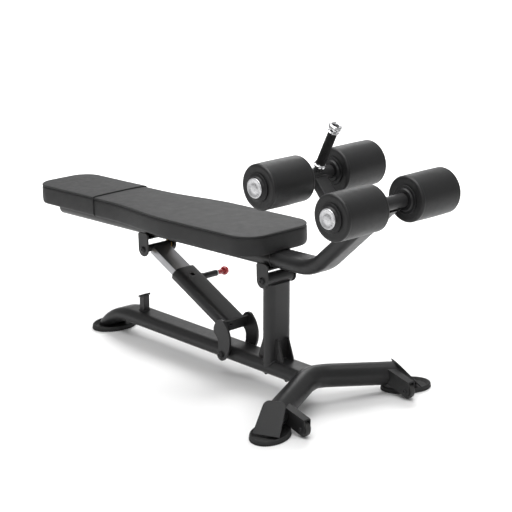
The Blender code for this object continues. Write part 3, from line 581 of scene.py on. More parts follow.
def inside_tube(point, centres, radius):
    best = min((point - (a + (b - a) * max(0, min(1, (point - a).dot(b - a) / (b - a).length_squared)))).length
               for a, b in zip(centres, centres[1:]))
    return best < radius


def march(start, direction, centres, radius):
    """Where a line from start meets a round tube along centres."""
    reach, steps = 0.12, 60
    low, high = 0.0, reach
    for i in range(steps):
        if inside_tube(start + direction * (reach * i / steps), centres, radius):
            low, high = reach * max(0, i - 1) / steps, reach * i / steps
            break
    for _ in range(12):
        middle = (low + high) / 2
        if inside_tube(start + direction * middle, centres, radius):
            high = middle
        else:
            low = middle
    return start + direction * high


def domed_bolt(grip, head, shank, height):
    """Along Y: washers, a domed head with a socket on -Y and a nut on +Y, either side of the grip."""
    end = grip + height
    washer_out, washer_thick = head * 1.12, 0.0014
    body = turned([
        (0, -end + 0.0026), (head * 0.34, -end + 0.0026), (head * 0.36, -end + 0.0002), (head * 0.55, -end),
        (head * 0.80, -end + height * 0.22), (head * 0.96, -end + height * 0.52), (head, -grip - washer_thick),
        (washer_out, -grip - washer_thick), (washer_out, -grip), (shank, -grip), (shank, grip),
        (washer_out, grip), (washer_out, grip + washer_thick), (shank, grip + washer_thick),
        (shank, end - 0.001), (shank - 0.0008, end), (0, end),
    ], 48)
    hexagon = bmesh.new()
    rings = [[hexagon.verts.new((x, along, z)) for x, z in arc((0, 0), head * scale, 12, 312, 5)]
             for along, scale in ((grip + washer_thick, 1.0), (end - 0.0022, 1.0), (end - 0.0010, 0.88))]
    return join(body, soften(capped_rings(hexagon, rings), 0.0004, 2, 0.5))


CARRIAGE = Matrix.Translation((POST_X, 0, PIVOT_Z)) @ Matrix.Rotation(-PAD_TILT, 4, "Y")
STRUT = Matrix.Translation((STRUT_TOP[0], 0, STRUT_TOP[1])) @ Matrix.Rotation(STRUT_SLOPE, 4, "Y")


def oval(grown=0.0):
    """Outline of the flat-oval tube, its width and height grown by an amount."""
    return flat_oval(TUBE_WIDTH + grown, TUBE_HEIGHT + grown)


def oval_tube(stations):
    return tube_mesh(stations, oval(), oval(-2 * WALL))


def mirrored(half):
    """A profile from its half below zero."""
    return half + [(radius, -along) for radius, along in reversed(half)]


def mm(*points):
    """Points given in millimetres."""
    return [tuple(value / 1000 for value in point) for point in points]


# ---------------------------------------------------------------- the fixed frame
def build_spine():
    turn, steps = math.radians(60), 30
    up, side = Vector((0, 0, 1)), Vector((0, 1, 0))
    stations = [(Vector((LEG_APEX_X + 0.012, 0, SPINE_Z)), side, up),
                (Vector((SPINE_BEND_START, 0, SPINE_Z)), side, up)]
    for i in range(1, steps + 1):
        angle = turn * i / steps
        centre = Vector((SPINE_BEND_START - SPINE_BEND_RADIUS * math.sin(angle), 0,
                         SPINE_Z - SPINE_BEND_RADIUS * (1 - math.cos(angle))))
        stations.append((centre, side, Vector((-math.sin(angle), 0, math.cos(angle)))))
    tube = tube_mesh(stations, oval())
    below = block((-0.8, -0.1, -0.2), (-0.45, 0.1, 0.0095))
    piece("spine", cut("spine", tube, below), "base", "frame_paint", ["spine_tube"])
    legs = [station[0] for station in leg_stations()]
    outline = [Vector((LEG_APEX_X - 0.10, u, SPINE_Z + v)) for u, v in oval()]
    joint = [march(p, Vector((1, 0, 0)), legs, LEG_RADIUS + 0.0006) for p in outline]
    weld("spine_leg", 0.0030, [joint], closed=True)


def build_legs():
    legs = tube_mesh(leg_stations(), circle(LEG_RADIUS), trim=lambda end, point: to_leg_end(point, (-1, 1)[end]))
    piece("front_legs", legs, "base", "frame_paint", ["front_leg_tube"])
    for label, sign in SIDES:
        piece("end_plate_" + label, refined("leg_end_plate_" + label, 0.0011), "base", "frame_paint",
              ["leg_end_plate_" + label], weighted=True)
        _, across, up = leg_frame(sign)
        ring = [to_leg_end(leg_point(0.2, sign) + across * u + up * v, sign, 0.0010)
                for u, v in circle(LEG_RADIUS + 0.0008, 60)]
        weld("end_" + label, 0.0022, [ring], closed=True)
        piece("wheel_channel_" + label, refined("wheel_bracket_" + label, 0.0009, 2), "base", "frame_paint",
              ["wheel_bracket_" + label], weighted=True)
        build_wheel(label, sign)


def build_wheel(label, sign):
    x, y, z = WHEEL_AT
    half = BRACKET_HALF - 0.0045
    place = Matrix.Translation((x, sign * y, z))
    rim = WHEEL_RADIUS
    tread = [
        (0.0046, -half), (0.0085, -half), (0.0090, -half + 0.0012), (0.0165, -half + 0.0016),
        (0.0172, -half + 0.0004), (rim - 0.0045, -half + 0.0002), (rim - 0.0018, -half + 0.0012),
        (rim - 0.0003, -half + 0.0032), (rim, -0.0018), (rim - 0.0004, -0.0010),
    ]
    piece("transport_wheel_" + label, turned(mirrored(tread), 72), "wheel_" + label, "wheel_rubber",
          ["wheel_" + label], place)
    pin = domed_bolt(BRACKET_HALF + GAP, 0.0068, 0.0040, 0.0040)
    piece("wheel_bolt_" + label, pin, "base", "pin_steel", ["wheel_pin_" + label], place, DARK_STEEL)


def oval_foot(half_size, teeth):
    """Rubber foot: a dished top inside a raised rim, and small teeth round the lower edge."""
    bm = bmesh.new()
    count = teeth * 6
    top = FOOT_HEIGHT
    levels = [
        (0.0060, 0, 0.30), (0.0058, 0, 0.60), (0.0075, 0, 0.80), (top - 0.0022, 0, 0.885), (top - 0.0006, 0, 0.905),
        (top, 0, 0.925), (top - 0.0004, 0, 0.955), (top - 0.0020, 0, 0.978), (top - 0.0048, 0, 0.992),
        (0.0062, 0, 0.995), (0.0058, 0.6, 1), (0.0012, 1, 1.006), (0, 1, 0.998), (0, 0.6, 0.95),
    ]
    rings = []
    for z, tooth, scale in levels:
        ring = []
        for i in range(count):
            angle = 2 * math.pi * i / count
            notch = 0.0022 * tooth * (0.5 - 0.5 * math.cos(2 * math.pi * i / 6)) ** 2
            ring.append(bm.verts.new(((half_size[0] * scale - notch) * math.cos(angle),
                                      (half_size[1] * scale - notch) * math.sin(angle), z)))
        rings.append(ring)
    return capped_rings(bm, rings)


def build_feet():
    piece("foot_rear", oval_foot(REAR_FOOT_HALF, 60), "base", "foot_rubber", ["rear_foot"],
          Matrix.Translation((REAR_FOOT_X, 0, 0)))
    for label, sign in SIDES:
        centre = leg_point(FOOT_REACH, sign)
        foot = moved(oval_foot(FOOT_HALF, 58), Matrix.Rotation(sign * LEG_SPREAD, 4, "Z"))
        piece("foot_" + label, foot, "base", "foot_rubber", ["front_foot_" + label],
              Matrix.Translation((centre.x, centre.y, 0)))


def build_post():
    across, along = Vector((0, 1, 0)), Vector((1, 0, 0))
    stations = [(Vector((POST_X, 0, z)), across, along) for z in (SPINE_Z + 0.004, POST_TOP)]
    piece("post", tube_mesh(stations, oval()), "base", "frame_paint", ["upright_post"])

    def foot_height(y):
        over = max(0.0, abs(y) - FLAT_HALF)
        return SPINE_Z + math.sqrt(max(0.0, HALF_HEIGHT ** 2 - over ** 2)) + 0.0008

    foot = [(POST_X + v, u, foot_height(u)) for u, v in oval(0.0016) if abs(u) < 0.0492]
    weld("post_foot", 0.0030, [sorted((p for p in foot if (p[0] - POST_X) * keep > 0.004), key=lambda p: p[1])
                               for keep in (1, -1)])
    end = PLATE_IN - 0.001
    housing = [(0.0095, 0.0005 - end), (0.0100, -end), (HOUSING_RADIUS - 0.0006, -end),
               (HOUSING_RADIUS, 0.0006 - end)]
    piece("pivot_tube", turned(mirrored(housing)), "base", "frame_paint", ["pivot_housing"],
          Matrix.Translation((POST_X, 0, PIVOT_Z)))
    reach = math.sqrt(HOUSING_RADIUS ** 2 - (PIVOT_Z - POST_TOP) ** 2)
    weld("pivot_tube", 0.0026, [[(POST_X + x, y * 0.01, POST_TOP + 0.0006) for y in range(-4, 5)]
                                for x in (reach, -reach)])
    for place in ("front", "rear"):
        for side in ("left", "right"):
            name = "post_gusset_%s_%s" % (place, side)
            piece("gusset_%s_%s" % (place, side), refined(name, 0.0010), "base", "frame_paint", [name],
                  weighted=True)
    runs = []
    for direction in (1, -1):
        x, start, end = (POST_X + direction * offset for offset in (HALF_HEIGHT + 0.0004, 0.028, 0.055))
        for y in (0.022, -0.022):
            for edge in (y - 0.0032, y + 0.0032):
                runs += [[(x, edge, 0.102), (x, edge, 0.170)], [(start, edge, 0.1006), (end, edge, 0.1006)]]
    weld("gussets", 0.0018, runs)
    for place, offset in (("front", 0.048), ("rear", -0.048)):
        stud = turned([
            (0, -0.0445), (0.0048, -0.0445), (0.0056, -0.0437), (0.0056, -0.038), (0.0100, -0.038), (0.0108, -0.0372),
            (0.0108, -0.0290), (0.0135, -0.0290), (0.0135, -HALF_HEIGHT - GAP), (0, -HALF_HEIGHT - GAP),
        ], 48, "Z")
        piece("spine_bolt_" + place, stud, "base", "bolt_black", ["post_bolt_" + place],
              Matrix.Translation((POST_X + offset, 0, SPINE_Z)))
    pin = domed_bolt(0.0668, 0.0112, 0.006, 0.0080)
    piece("strut_foot_bolt", pin, "base", "bolt_black", ["strut_foot_pin"],
          Matrix.Translation((STRUT_FOOT[0], 0, STRUT_FOOT[1])))


def build_bumper():
    piece("stop_post", refined("bumper_post", 0.0014), "base", "frame_paint", ["bumper_post"], weighted=True)
    piece("stop_cap", refined("bumper_cap", 0.0016), "base", "cap_rubber", ["bumper_cap"], weighted=True)
    x, half = -0.376, 0.0132
    z = SPINE_Z + HALF_HEIGHT + 0.0006
    ring = [(x - half, -half, z), (x + half, -half, z), (x + half, half, z), (x - half, half, z)]
    weld("stop", 0.0020, [ring], closed=True)


# ---------------------------------------------------------------- upholstery
def crown(u, v, height):
    """How far the padding rises between its edges, with a faint waviness over it."""
    half = HEAD_HALF_WIDTH + (SEAT_HALF_WIDTH - HEAD_HALF_WIDTH) * max(0.0, min(1.0, (u + 0.70) / 0.34))
    across = max(0.0, 1 - (v / half) ** 2)
    length = max(0.0, min(1.0, (u - PAD_HEAD) / 0.06, (PAD_SEAT - u) / 0.06))
    wave = noise.noise(Vector((u * 7, v * 7, 2.3))) * 0.0006
    return height * across ** 0.7 * length * (2 - length) + wave * across * length


def paired_rings(levels, outline_at):
    """Rings of (height, inset) levels whose left and right points are mirrored."""
    count = min(len(outline_at(inset)) for _, inset in levels)
    made = []
    for height, inset in levels:
        left = outline_at(inset)[:count]
        made.append([(u, v, height) for u, v in left] + [(u, -v, height) for u, v in reversed(left)])
    return made


def upholstered(levels, outline_at):
    """A padded body: side rings, then a crowned top sheet of quads from side to side."""
    across = 26
    bm = bmesh.new()
    rings = [[bm.verts.new(point) for point in ring] for ring in paired_rings(levels, outline_at)]
    bridge_rings(bm, rings)
    for ring, lift in ((rings[-1], PAD_CROWN), (rings[0], 0.0)):
        count = len(ring) // 2
        rows = []
        for i in range(count):
            a, b = ring[i], ring[-1 - i]
            row = [a]
            for k in range(1, across):
                point = a.co.lerp(b.co, k / across)
                if lift:
                    point.z += crown(point.x, point.y, lift)
                row.append(bm.verts.new(point))
            rows.append(row + [b])
        for first, second in zip(rows, rows[1:]):
            for k in range(across):
                bm.faces.new((first[k], first[k + 1], second[k + 1], second[k]))
    return bm


def even_outline(inset):
    """Evenly matched points for every inset, so that the rings can be bridged."""
    base = pad_outline()
    inner = []
    for i, (u, v) in enumerate(base):
        before = base[max(0, i - 1)]
        after = base[min(len(base) - 1, i + 1)]
        along = Vector((after[0] - before[0], after[1] - before[1])).normalized()
        normal = Vector((-along.y, along.x))
        inner.append((u + normal.x * inset, v + normal.y * inset))
    return inner


def side_levels(bottom, top, offset=0.0):
    """The side of the pad from its folded-under edge to the seam and the top edge."""
    seam = top - 0.0072
    return [
        (bottom - 0.0006, 0.030 - offset), (bottom - 0.0010, 0.012 - offset), (bottom, 0.0068 - offset),
        (bottom + 0.0020, 0.0030 - offset), (bottom + 0.0055, 0.0008 - offset), (bottom + 0.0100, -offset),
        ((bottom + seam) / 2 - 0.010, -0.0007 - offset), ((bottom + seam) / 2 + 0.010, -0.0007 - offset),
        (seam - 0.0060, -offset), (seam - 0.0030, 0.0006 - offset), (seam - 0.0012, 0.0030 - offset),
        (seam + 0.0012, 0.0030 - offset), (seam + 0.0022, 0.0006 - offset), (seam + 0.0034, 0.0 - offset),
        (top - 0.0022, 0.0002 - offset), (top - 0.0011, 0.0009 - offset), (top - 0.0004, 0.0021 - offset),
        (top - 0.0001, 0.0036 - offset), (top, 0.0055 - offset),
    ]


def stitches(path):
    """Short threads along a path of (point, outward) pairs."""
    length, gap, radius = 0.0032, 0.0016, 0.00042
    bm = bmesh.new()
    travelled, target = 0.0, 0.0
    for (a, out_a), (b, _) in zip(path, path[1:]):
        step = (b - a).length
        forward = (b - a).normalized() if step > 1e-7 else Vector((1, 0, 0))
        while travelled + step > target:
            centre = a + forward * (target - travelled)
            side = forward.cross(out_a).normalized()
            rings = []
            for along, size in ((-0.5, 0.35), (-0.36, 1.0), (0.36, 1.0), (0.5, 0.35)):
                ring = []
                for k in range(6):
                    angle = math.pi * k / 3
                    offset = side * math.cos(angle) + out_a * math.sin(angle)
                    ring.append(bm.verts.new(centre + forward * (along * length) + offset * (radius * size)))
                rings.append(ring)
            capped_rings(bm, rings)
            target += length + gap
        travelled += step
    return bm


def build_pad():
    levels = side_levels(PAD_BOTTOM, PAD_TOP)
    pad = upholstered(levels, even_outline)
    piece("pad", pad, "carriage", "pad_vinyl", ["cushion"], CARRIAGE, angle=60)
    board = even_outline(0.027)
    board += [(u, -v) for u, v in reversed(board)]
    under = slab(board, PAD_BOTTOM - 0.0016, PAD_BOTTOM + 0.004, "XY")
    piece("pad_board", under, "carriage", "board_wood", ["cushion_board"], CARRIAGE)
    left = even_outline(0.0)
    edge = left + [(u, -v) for u, v in reversed(left)]
    path = []
    for i, (u, v) in enumerate(edge):
        before, after = edge[max(0, i - 1)], edge[min(len(edge) - 1, i + 1)]
        along = Vector((after[0] - before[0], after[1] - before[1], 0)).normalized()
        outward = Vector((along.y, -along.x, 0))
        path.append((Vector((u, v, PAD_TOP - 0.0135)) + outward * 0.0002, outward))
    piece("pad_stitching", stitches(path), "carriage", "pad_vinyl", (), CARRIAGE, THREAD)


def cover_outline(inset):
    """The head end of the pad's outline, cut straight across at the seam."""
    whole = even_outline(inset)
    crossing = next(p for p in reversed(whole) if p[0] >= PAD_SEAM)
    return [(PAD_SEAM, crossing[1])] + [p for p in whole if p[0] < PAD_SEAM]


def build_cover():
    top = PAD_TOP + COVER
    levels = side_levels(PAD_BOTTOM + 0.0012, top, COVER)
    cover = upholstered(levels, cover_outline)
    bmesh.ops.holes_fill(cover, edges=[e for e in cover.edges if e.is_boundary])
    piece("head_wear_cover", cover, "carriage", "cover_vinyl", ["head_cover"], CARRIAGE, angle=60)
    half = HEAD_HALF_WIDTH + COVER
    profile = [(half - 0.010, PAD_BOTTOM), (half - 0.004, PAD_BOTTOM + 0.0025), (half - 0.0004, PAD_BOTTOM + 0.009),
               (half, PAD_BOTTOM + 0.014), (half, top - 0.005), (half - 0.0012, top - 0.0024),
               (half - 0.0040, top - 0.0008), (half - 0.010, top)]
    across = [(half - 0.010 - k * (2 * half - 0.020) / 40, top) for k in range(1, 40)]
    line = profile + across + [(-v, w) for v, w in reversed(profile)]
    points = [(PAD_SEAM, v, w + (crown(PAD_SEAM, v, PAD_CROWN) if w >= top else 0.0)) for v, w in line]
    piece("head_cover_hem", bead(points, 0.0014, False, ripple=0.05, pitch=0.006), "carriage", "cover_vinyl",
          (), CARRIAGE)
    path = []
    for (v, w), (v2, w2) in zip(line, line[1:]):
        point = Vector((PAD_SEAM - 0.0075, v, w + (crown(PAD_SEAM, v, PAD_CROWN) if w >= top else 0.0)))
        outward = Vector((0, w2 - w, v - v2)).normalized()
        if outward.dot(Vector((0, v, w - PAD_TOP + 0.04))) < 0:
            outward = -outward
        path.append((point, outward))
    piece("head_cover_stitching", stitches(path), "carriage", "cover_vinyl", (), CARRIAGE, THREAD)


# ---------------------------------------------------------------- the tilting carriage
def build_arm():
    joint = 0.020
    run = straight_stations((BACKBONE_END, 0, BACKBONE_W), (joint - GAP, 0, BACKBONE_W))
    piece("backbone", oval_tube(run), "carriage", "frame_paint", ["pad_backbone"], CARRIAGE)
    levels = [(-0.0030, 0.006), (-0.0024, 0.0026), (-0.0012, 0.0022), (0.0, 0.0022)]
    bm = bmesh.new()
    rings = []
    for along, drawn in levels:
        rings.append([bm.verts.new((BACKBONE_END + along, u, BACKBONE_W + v)) for u, v in oval(-drawn)])
    piece("backbone_end_plug", capped_rings(bm, rings), "carriage", "plug_plastic", ["backbone_plug"],
          CARRIAGE)
    corner = ANKLE[0] - (ANKLE[1] - BACKBONE_W) / math.tan(ARM_RISE)
    bend = bent_stations([(joint, BACKBONE_W), (corner, BACKBONE_W), ANKLE], ARM_BEND_RADIUS, 28)
    last = bend[-1]
    pull = (bend[-1][0] - bend[-2][0]).normalized()
    bend[-1] = (last[0] - pull * 0.012, last[1], last[2])
    piece("rising_arm", oval_tube(bend), "carriage", "frame_paint", ["roller_arm"], CARRIAGE)
    ring = [(joint, u, BACKBONE_W + v) for u, v in oval(0.0004)]
    weld("backbone_arm", 0.0016, [ring], "carriage", CARRIAGE, True)
    side, up = last[1], last[2]
    ring = []
    for u, v in oval(0.001):
        depth = math.sqrt(max(0.0, (AXLE_RADIUS + 0.0006) ** 2 - min(abs(v), AXLE_RADIUS) ** 2))
        ring.append(last[0] - pull * depth + side * u + up * v)
    kept = [[p for p, (u, v) in zip(ring, oval()) if abs(v) < AXLE_RADIUS + 0.004 and u * keep > 0]
            for keep in (1, -1)]
    weld("ankle_axle", 0.0024, kept, "carriage", CARRIAGE)


def build_brackets():
    dx, dz = STRUT_TOP[0] - POST_X, STRUT_TOP[1] - PIVOT_Z
    pin_u = dx * math.cos(PAD_TILT) + dz * math.sin(PAD_TILT)
    pin_w = -dx * math.sin(PAD_TILT) + dz * math.cos(PAD_TILT)
    low = BACKBONE_W - HALF_HEIGHT
    for name, u, w, head, shank, height in (("pivot", 0.0, 0.0, 0.0112, 0.0062, 0.0070),
                                            ("strut", pin_u, pin_w, 0.0102, 0.0050, 0.0060)):
        piece(name + "_cheeks", refined(name + "_bracket", 0.0011), "carriage", "frame_paint", [name + "_bracket"],
              weighted=True)
        node_name = "seat_pivot_pin" if name == "pivot" else "strut_top_pin"
        piece(name + "_bolt", domed_bolt(PLATE_OUT + GAP, head, shank, height), "carriage", "bolt_black", [node_name],
              CARRIAGE @ Matrix.Translation((u, 0, w)))
        weld(name + "_bracket", 0.0022, [[(end, y * 0.005, low - 0.0005) for y in range(-8, 9)]
                                         for end in (u - 0.0254, u + 0.0254)], "carriage", CARRIAGE)


def build_knee_post():
    foot = arm_point(KNEE_ALONG_ARM, HALF_HEIGHT - 0.002)
    knee = arm_point(KNEE_ALONG_ARM, KNEE_OFF_ARM)
    side = Vector((0, 1, 0))
    along = side.cross((knee - foot).normalized())
    outline = rounded_rectangle(0.050, 0.030, 0.0035)
    piece("knee_upright", tube_mesh([(foot, side, along), (knee, side, along)], outline), "carriage", "frame_paint",
          ["knee_post"], CARRIAGE)
    base = arm_point(KNEE_ALONG_ARM, HALF_HEIGHT + 0.0006)
    foot_ring = [base + side * u * 1.02 + along * v * 1.03 for u, v in outline]
    weld("knee_foot", 0.0024, [foot_ring], "carriage", CARRIAGE, True)
    up = (knee - foot).normalized()
    head = []
    for u, v in outline:
        rise = math.sqrt(max(0.0, (AXLE_RADIUS + 0.0004) ** 2 - v * v))
        head.append(knee - up * rise + side * u * 1.02 + along * v * 1.03)
    weld("knee_head", 0.0024, [head], "carriage", CARRIAGE, True)
    return knee


def build_axle(name, centre):
    edge = 0.0010
    profile = [(0, -SHAFT_END), (SHAFT_RADIUS - edge, -SHAFT_END), (SHAFT_RADIUS, edge - SHAFT_END),
               (SHAFT_RADIUS, -AXLE_END), (AXLE_RADIUS - edge, -AXLE_END), (AXLE_RADIUS, edge - AXLE_END)]
    piece(name.replace("_axle", "_cross_tube"), turned(mirrored(profile)), "carriage", "frame_paint", [name],
          CARRIAGE @ Matrix.Translation(centre))


def foam_profile():
    """Outer skin of a roller: a rounded lip at each end and a barely swollen middle."""
    near, far, big = ROLLER_NEAR, ROLLER_FAR, ROLLER_RADIUS
    lip, swell, steps = 0.0085, 0.0006, 24
    end = [(0.0305, 0), (0.046, 0), (big - lip - 0.010, 0.0006), (big - lip - 0.004, 0)]
    end += arc((big - lip, lip), lip, -90, 0, 9)
    end += [(big - 0.0002, lip + 0.003), (big - 0.0004, lip + 0.0046), (big - 0.0002, lip + 0.0062)]
    start, stop = near + lip + 0.010, far - lip - 0.010
    middle = [(big + swell * math.sin(math.pi * k / steps), start + (stop - start) * k / steps)
              for k in range(steps + 1)]
    outer = [(radius, far - along) for radius, along in reversed(end)]
    return [(radius, near + along) for radius, along in end] + middle + outer


def build_roller(row, label, sign, centre):
    name = "%s_roller_%s" % (row, label)
    place = CARRIAGE @ Matrix.Translation(centre)
    near, far = ROLLER_NEAR, ROLLER_FAR
    clear = SHAFT_RADIUS + 0.0006
    flange = 0.045

    def both(profile, segments=72):
        return turned([(radius, sign * along) for radius, along in profile], segments)

    foam = both(foam_profile(), 96)
    for v in foam.verts:
        radius = math.hypot(v.co.x, v.co.z)
        if radius > ROLLER_RADIUS - 0.012:
            ripple = noise.noise(Vector((v.co.x * 30, v.co.y * 14, v.co.z * 30 + 5 * sign))) * 0.00045
            v.co.x += v.co.x / radius * ripple
            v.co.z += v.co.z / radius * ripple
    piece(name + "_sleeve", foam, name, "roller_foam", [name + "_foam"], place, angle=60)
    spool = [
        (clear, AXLE_END + GAP), (0.0322, AXLE_END + GAP), (0.0330, AXLE_END + 0.0011), (0.0352, near - 0.0052),
        (0.0362, near - 0.0045), (flange - 0.0010, near - 0.0045), (flange, near - 0.0036), (flange, near - GAP),
        (0.030, near - GAP), (0.030, far + GAP), (flange, far + GAP), (flange, far + 0.0040),
        (flange - 0.0010, far + 0.0050), (0.0372, far + 0.0056), (0.0358, far + 0.0066), (0.0340, far + 0.0115),
        (0.0330, far + 0.0125), (clear, far + 0.0125),
    ]
    piece(name + "_spool", both(spool), name, "hub_plastic", [name + "_hub"], place)
    face = far + 0.0125 + GAP
    cap = [
        (0, face), (0.0306, face), (0.0310, face + 0.0005), (0.0310, face + 0.0012), (0.0302, face + 0.0026),
        (0.0288, face + 0.0034), (0.0272, face + 0.0034), (0.0245, face + 0.0026), (0.0205, face + 0.0017),
        (0.0165, face + 0.0014), (0.0148, face + 0.0015), (0.0138, face + 0.0022), (0.0126, face + 0.0029),
        (0.0105, face + 0.0034), (0.0050, face + 0.0037), (0.0, face + 0.0037),
    ]
    piece(name + "_end_cap", both(cap, 96), name, "cap_silver", [name + "_cap"], place)


def build_handle(knee):
    place = CARRIAGE @ Matrix.Translation(knee) @ Matrix.Rotation(HANDLE_LEAN, 4, "Y")
    base = AXLE_RADIUS - 0.002
    piece("handle_stem", turned([(0.0, base), (0.0125, base), (0.0125, 0.174), (0.0, 0.174)], 48, "Z"), "carriage",
          "frame_paint", ["handle_tube"], place)
    joint = [(x, y, math.sqrt((AXLE_RADIUS + 0.0004) ** 2 - x * x)) for x, y in circle(0.0130, 48)]
    weld("handle", 0.0020, [joint], "carriage", place, True)
    sleeve = 12.7
    collar = mm((sleeve, 30), (16, 30), (17.2, 30.3), (19.6, 32.5), (20.2, 34.5), (20.2, 37.5), (19.6, 39.3),
                (18, 40.3), (17.4, 41.2), (17.6, 42.8), (17, 43.5), (sleeve, 43.5))
    piece("handle_lower_ring", turned(collar, 64, "Z"), "carriage", "handle_chrome", ["handle_collar"], place)
    grip = mm((sleeve, 44), (15.2, 44), (15.6, 44.6), (15.6, 47.4), (15, 48.2))
    steps = 30
    for k in range(steps):
        start = 50 + 103.5 * k / steps
        grip += mm((14.9, start), (14.9, start + 2.2), (14.55, start + 2.6), (14.55, start + 3.1))
    grip += mm((15, 155.2), (15.6, 156), (15.6, 158.9), (15.2, 159.5), (sleeve, 159.5))
    piece("handle_sleeve", turned(grip, 64, "Z"), "carriage", "grip_rubber", ["handle_grip"], place)
    ring = mm((sleeve, 160), (16.2, 160), (17.6, 160.6), (18.2, 161.8), (18, 163.2), (16.8, 164.3),
              (15.6, 165.4), (15.5, 166.6), (16.6, 167.8), (19, 169.8), (20.8, 172.8), (21.6, 176.2),
              (21.6, 179), (20.8, 182.4), (19.3, 185), (17, 186.6), (14.5, 187.2), (12.6, 186.4),
              (11.2, 184.5), (10.6, 181.5), (10.6, 174.5), (sleeve, 174.5))
    piece("handle_upper_ring", turned(ring, 64, "Z"), "carriage", "handle_chrome", ["handle_end_ring"], place)
    plug = mm((0, 174.2), (10.3, 174.2), (10.3, 179), (9.8, 180.8), (8, 182), (4, 182.8), (0, 183))
    piece("handle_end_plug", turned(plug, 48, "Z"), "carriage", "plug_plastic", ["handle_plug"], place)


# ---------------------------------------------------------------- the telescopic strut
def build_strut():
    build_yoke()
    run = straight_stations((SLEEVE_START, 0, 0), (SLEEVE_END, 0, 0))
    drill = turned(mm((0, 10), (7.5, 10), (7.5, 50), (0, 50)), 40, "Z")
    moved(drill, Matrix.Translation((PULL_PIN_AT, 0, 0)))
    piece("strut_outer_tube", cut("sleeve", oval_tube(run), drill), "strut_lower", "frame_paint", ["strut_sleeve"],
          STRUT)
    halves = [[(SLEEVE_END - 0.0004, u, v) for u, v in oval(0.001) if abs(v) < 0.0238 and u * keep > 0]
              for keep in (1, -1)]
    weld("strut_foot", 0.0022, halves, "strut_lower", STRUT)
    piece("strut_guide", refined("sleeve_guide", 0.0006, 2), "strut_lower", "guide_nylon", ["sleeve_guide"])
    build_slider()
    for label, sign in SIDES:
        ring = turned(mm((10.6, 50.5), (14.8, 50.5), (15.2, 50.9), (15.2, 52.7), (14.8, 53.1), (10.6, 53.1)), 48)
        if sign < 0:
            moved(ring, Matrix.Rotation(math.pi, 4, "Z"))
        piece("strut_washer_" + label, ring, "strut_upper", "strut_steel", (), STRUT, BRASS)


def build_slider():
    """The sliding tube with its notch holes, and the cross tube welded to its upper end."""
    run = straight_stations((0.0105, 0, 0), (INNER_END, 0, 0))
    tube = tube_mesh(run, rounded_rectangle(0.070, 0.030, 0.0028), rounded_rectangle(0.064, 0.024, 0.0012))
    drills = []
    for i in range(5):
        drills.append(moved(turned([(0, 0.025), (0.0056, 0.025), (0.0056, 0.045), (0, 0.045)], 36),
                            Matrix.Translation((PULL_PIN_AT - i * PULL_PIN_PITCH, 0, 0))))
    piece("strut_slider", cut("slider", tube, join(*drills)), "strut_upper", "strut_steel", ["strut_inner_tube"],
          STRUT)
    cross = mm((10.5, -49.5), (10.8, -50), (11.9, -50), (12.5, -49))
    # The cross tube is drawn dark, in the same dark steel as the bolts, unlike the bright slider.
    piece("strut_cross_tube", turned(mirrored(cross)), "strut_upper", "strut_steel", (), STRUT, DARK_STEEL)
    weld("cross_tube", 0.0024, [[(0.0108, y * 0.0034, top * 0.0128) for y in range(-10, 11)] for top in (1, -1)],
         "strut_upper", STRUT, slot="strut_steel")


def build_yoke():
    """Two crescent cheeks round the foot pin, joined by a cross plate at the sleeve's lower end."""
    foot_x, foot_z = STRUT_FOOT
    outline = arc((0.058, 0.125), 0.085, 54, -34, 30)
    outline += arc((foot_x, foot_z), 0.0215, -40, -190, 20)
    outline += mm((86.5, 94), (86.7, 104), (86.8, 111), (86, 118), (83.8, 125), (80, 131), (74, 137),
                  (69, 141), (65.5, 146), (64, 153), (64.5, 161), (67.5, 170), (74, 181), (85, 191),
                  (96, 194.5))
    cheeks = [soften(slab(outline, low, low + 0.008), 0.0012, 3, 0.9) for low in (0.0580, -0.0660)]
    piece("strut_cheeks", join(*cheeks), "strut_lower", "frame_paint", ["strut_yoke"], weighted=True)
    plate = block((SLEEVE_END + GAP, -0.0585, -0.0235), (SLEEVE_END + 0.0065, 0.0585, 0.0245))
    vent = moved(turned([(0, SLEEVE_END - 0.02), (0.0038, SLEEVE_END - 0.02), (0.0038, SLEEVE_END + 0.03),
                         (0, SLEEVE_END + 0.03)], 32, "X"), Matrix.Translation((0, -0.018, 0.006)))
    piece("strut_cross_plate", cut("plate", plate, vent), "strut_lower", "frame_paint", (), STRUT)
    lines = [[(SLEEVE_END + along, side * 0.0577, z * 0.0045) for z in range(-5, 6)]
             for side in (1, -1) for along in (-0.0006, 0.0071)]
    weld("cheeks", 0.0020, lines, "strut_lower", STRUT)


def build_pull_pin():
    place = STRUT @ Matrix.Translation((PULL_PIN_AT, 0, 0))
    barrel = turned(mm((5.4, 50.3), (12.4, 50.3), (13.1, 50.8), (13.1, 55.5), (12.4, 56.2), (11.2, 56.6),
                       (11, 58), (11, 70), (10.5, 70.6), (10.5, 71.6), (11, 72.2), (11, 109.8), (10.5, 110.4),
                       (10.5, 111.2), (11, 111.8), (11, 115), (5.4, 115)), 56)
    piece("pin_barrel", barrel, "strut_lower", "barrel_black", ["pull_pin_barrel"], place)
    ring = turned(mm((5.4, 115), (10.4, 115), (11, 115.6), (11, 118.6), (10.2, 119.6), (5.4, 119.6)), 56)
    piece("pin_barrel_ring", ring, "strut_lower", "barrel_black", (), place, RING)
    ball, ball_at = 0.0155, 0.1545
    knob = mm((0, 120.4), (7, 120.4), (7.7, 120.8), (8, 122), (8, 129), (8.6, 133.5))
    knob += arc((0, ball_at), ball, -54, 84, 23) + [(0, ball_at + ball)]
    piece("pin_knob", turned(knob, 64), "pull_pin", "knob_red", ["pull_knob"], place)
    stem = turned(mm((0, 36), (3.6, 36.4), (4.8, 38.5), (4.8, 120.6), (0, 120.6)), 32)
    piece("pin_plunger", stem, "pull_pin", "knob_red", (), place, ZINC)


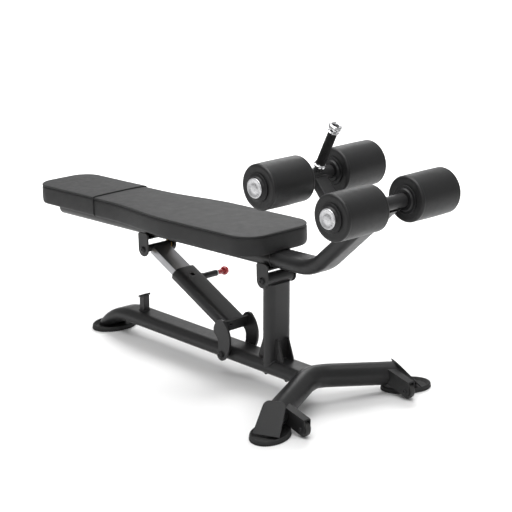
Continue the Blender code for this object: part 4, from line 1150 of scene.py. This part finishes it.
# ---------------------------------------------------------------- stage
def build_stage():
    floor = bpy.data.meshes.new("floor")
    floor.from_pydata([(-40, -40, 0), (40, -40, 0), (40, 40, 0), (-40, 40, 0)], [], [(0, 1, 2, 3)])
    floor.materials.append(FLOOR)
    ground = bpy.data.objects.new("floor", floor)
    bpy.context.scene.collection.objects.link(ground)
    bpy.context.scene.view_settings.view_transform = "Standard"
    world = bpy.data.worlds.new("studio")
    bpy.context.scene.world = world
    world.use_nodes = True
    sky = world.node_tree.nodes["Background"]
    sky.inputs["Color"].default_value = (1, 1, 1, 1)
    sky.inputs["Strength"].default_value = 0.45
    for name, place, aim, size, power in (
            ("top_light", (0.2, -0.2, 4.2), (0, 0, 0.3), 4.5, 230),
            ("key_light", (3.0, -2.6, 2.6), (0, 0, 0.4), 1.6, 24),
            ("back_light", (-2.4, 2.6, 2.6), (0, 0, 0.4), 2.0, 24),
            ("backdrop_light", (-6.5, 6.5, 6.0), (-7.0, 7.0, 0), 9.0, 2400)):
        light = bpy.data.lights.new(name, "AREA")
        light.shape = "DISK"
        light.size = size
        light.energy = power
        lamp = bpy.data.objects.new(name, light)
        bpy.context.scene.collection.objects.link(lamp)
        lamp.location = place
        lamp.visible_glossy = name != "backdrop_light"
        lamp.rotation_euler = (Vector(aim) - Vector(place)).to_track_quat("-Z", "Y").to_euler()
    camera = bpy.data.cameras.new("camera")
    camera.sensor_width = 36
    camera.lens = 119.2
    view = bpy.data.objects.new("camera", camera)
    bpy.context.scene.collection.objects.link(view)
    view.location = (4.0423, -3.5779, 1.9760)
    view.rotation_euler = (math.radians(90 - 16.483), 0, math.radians(47.046))
    bpy.context.scene.camera = view


build_spine()
build_legs()
build_feet()
build_post()
build_bumper()
build_pad()
build_cover()
build_arm()
build_brackets()
knee = build_knee_post()
for row, centre in (("knee", knee), ("ankle", Vector((ANKLE[0], 0, ANKLE[1])))):
    build_axle(row + "_axle", centre)
    for label, sign in SIDES:
        build_roller(row, label, sign, centre)
build_handle(knee)
build_strut()
build_pull_pin()
build_stage()
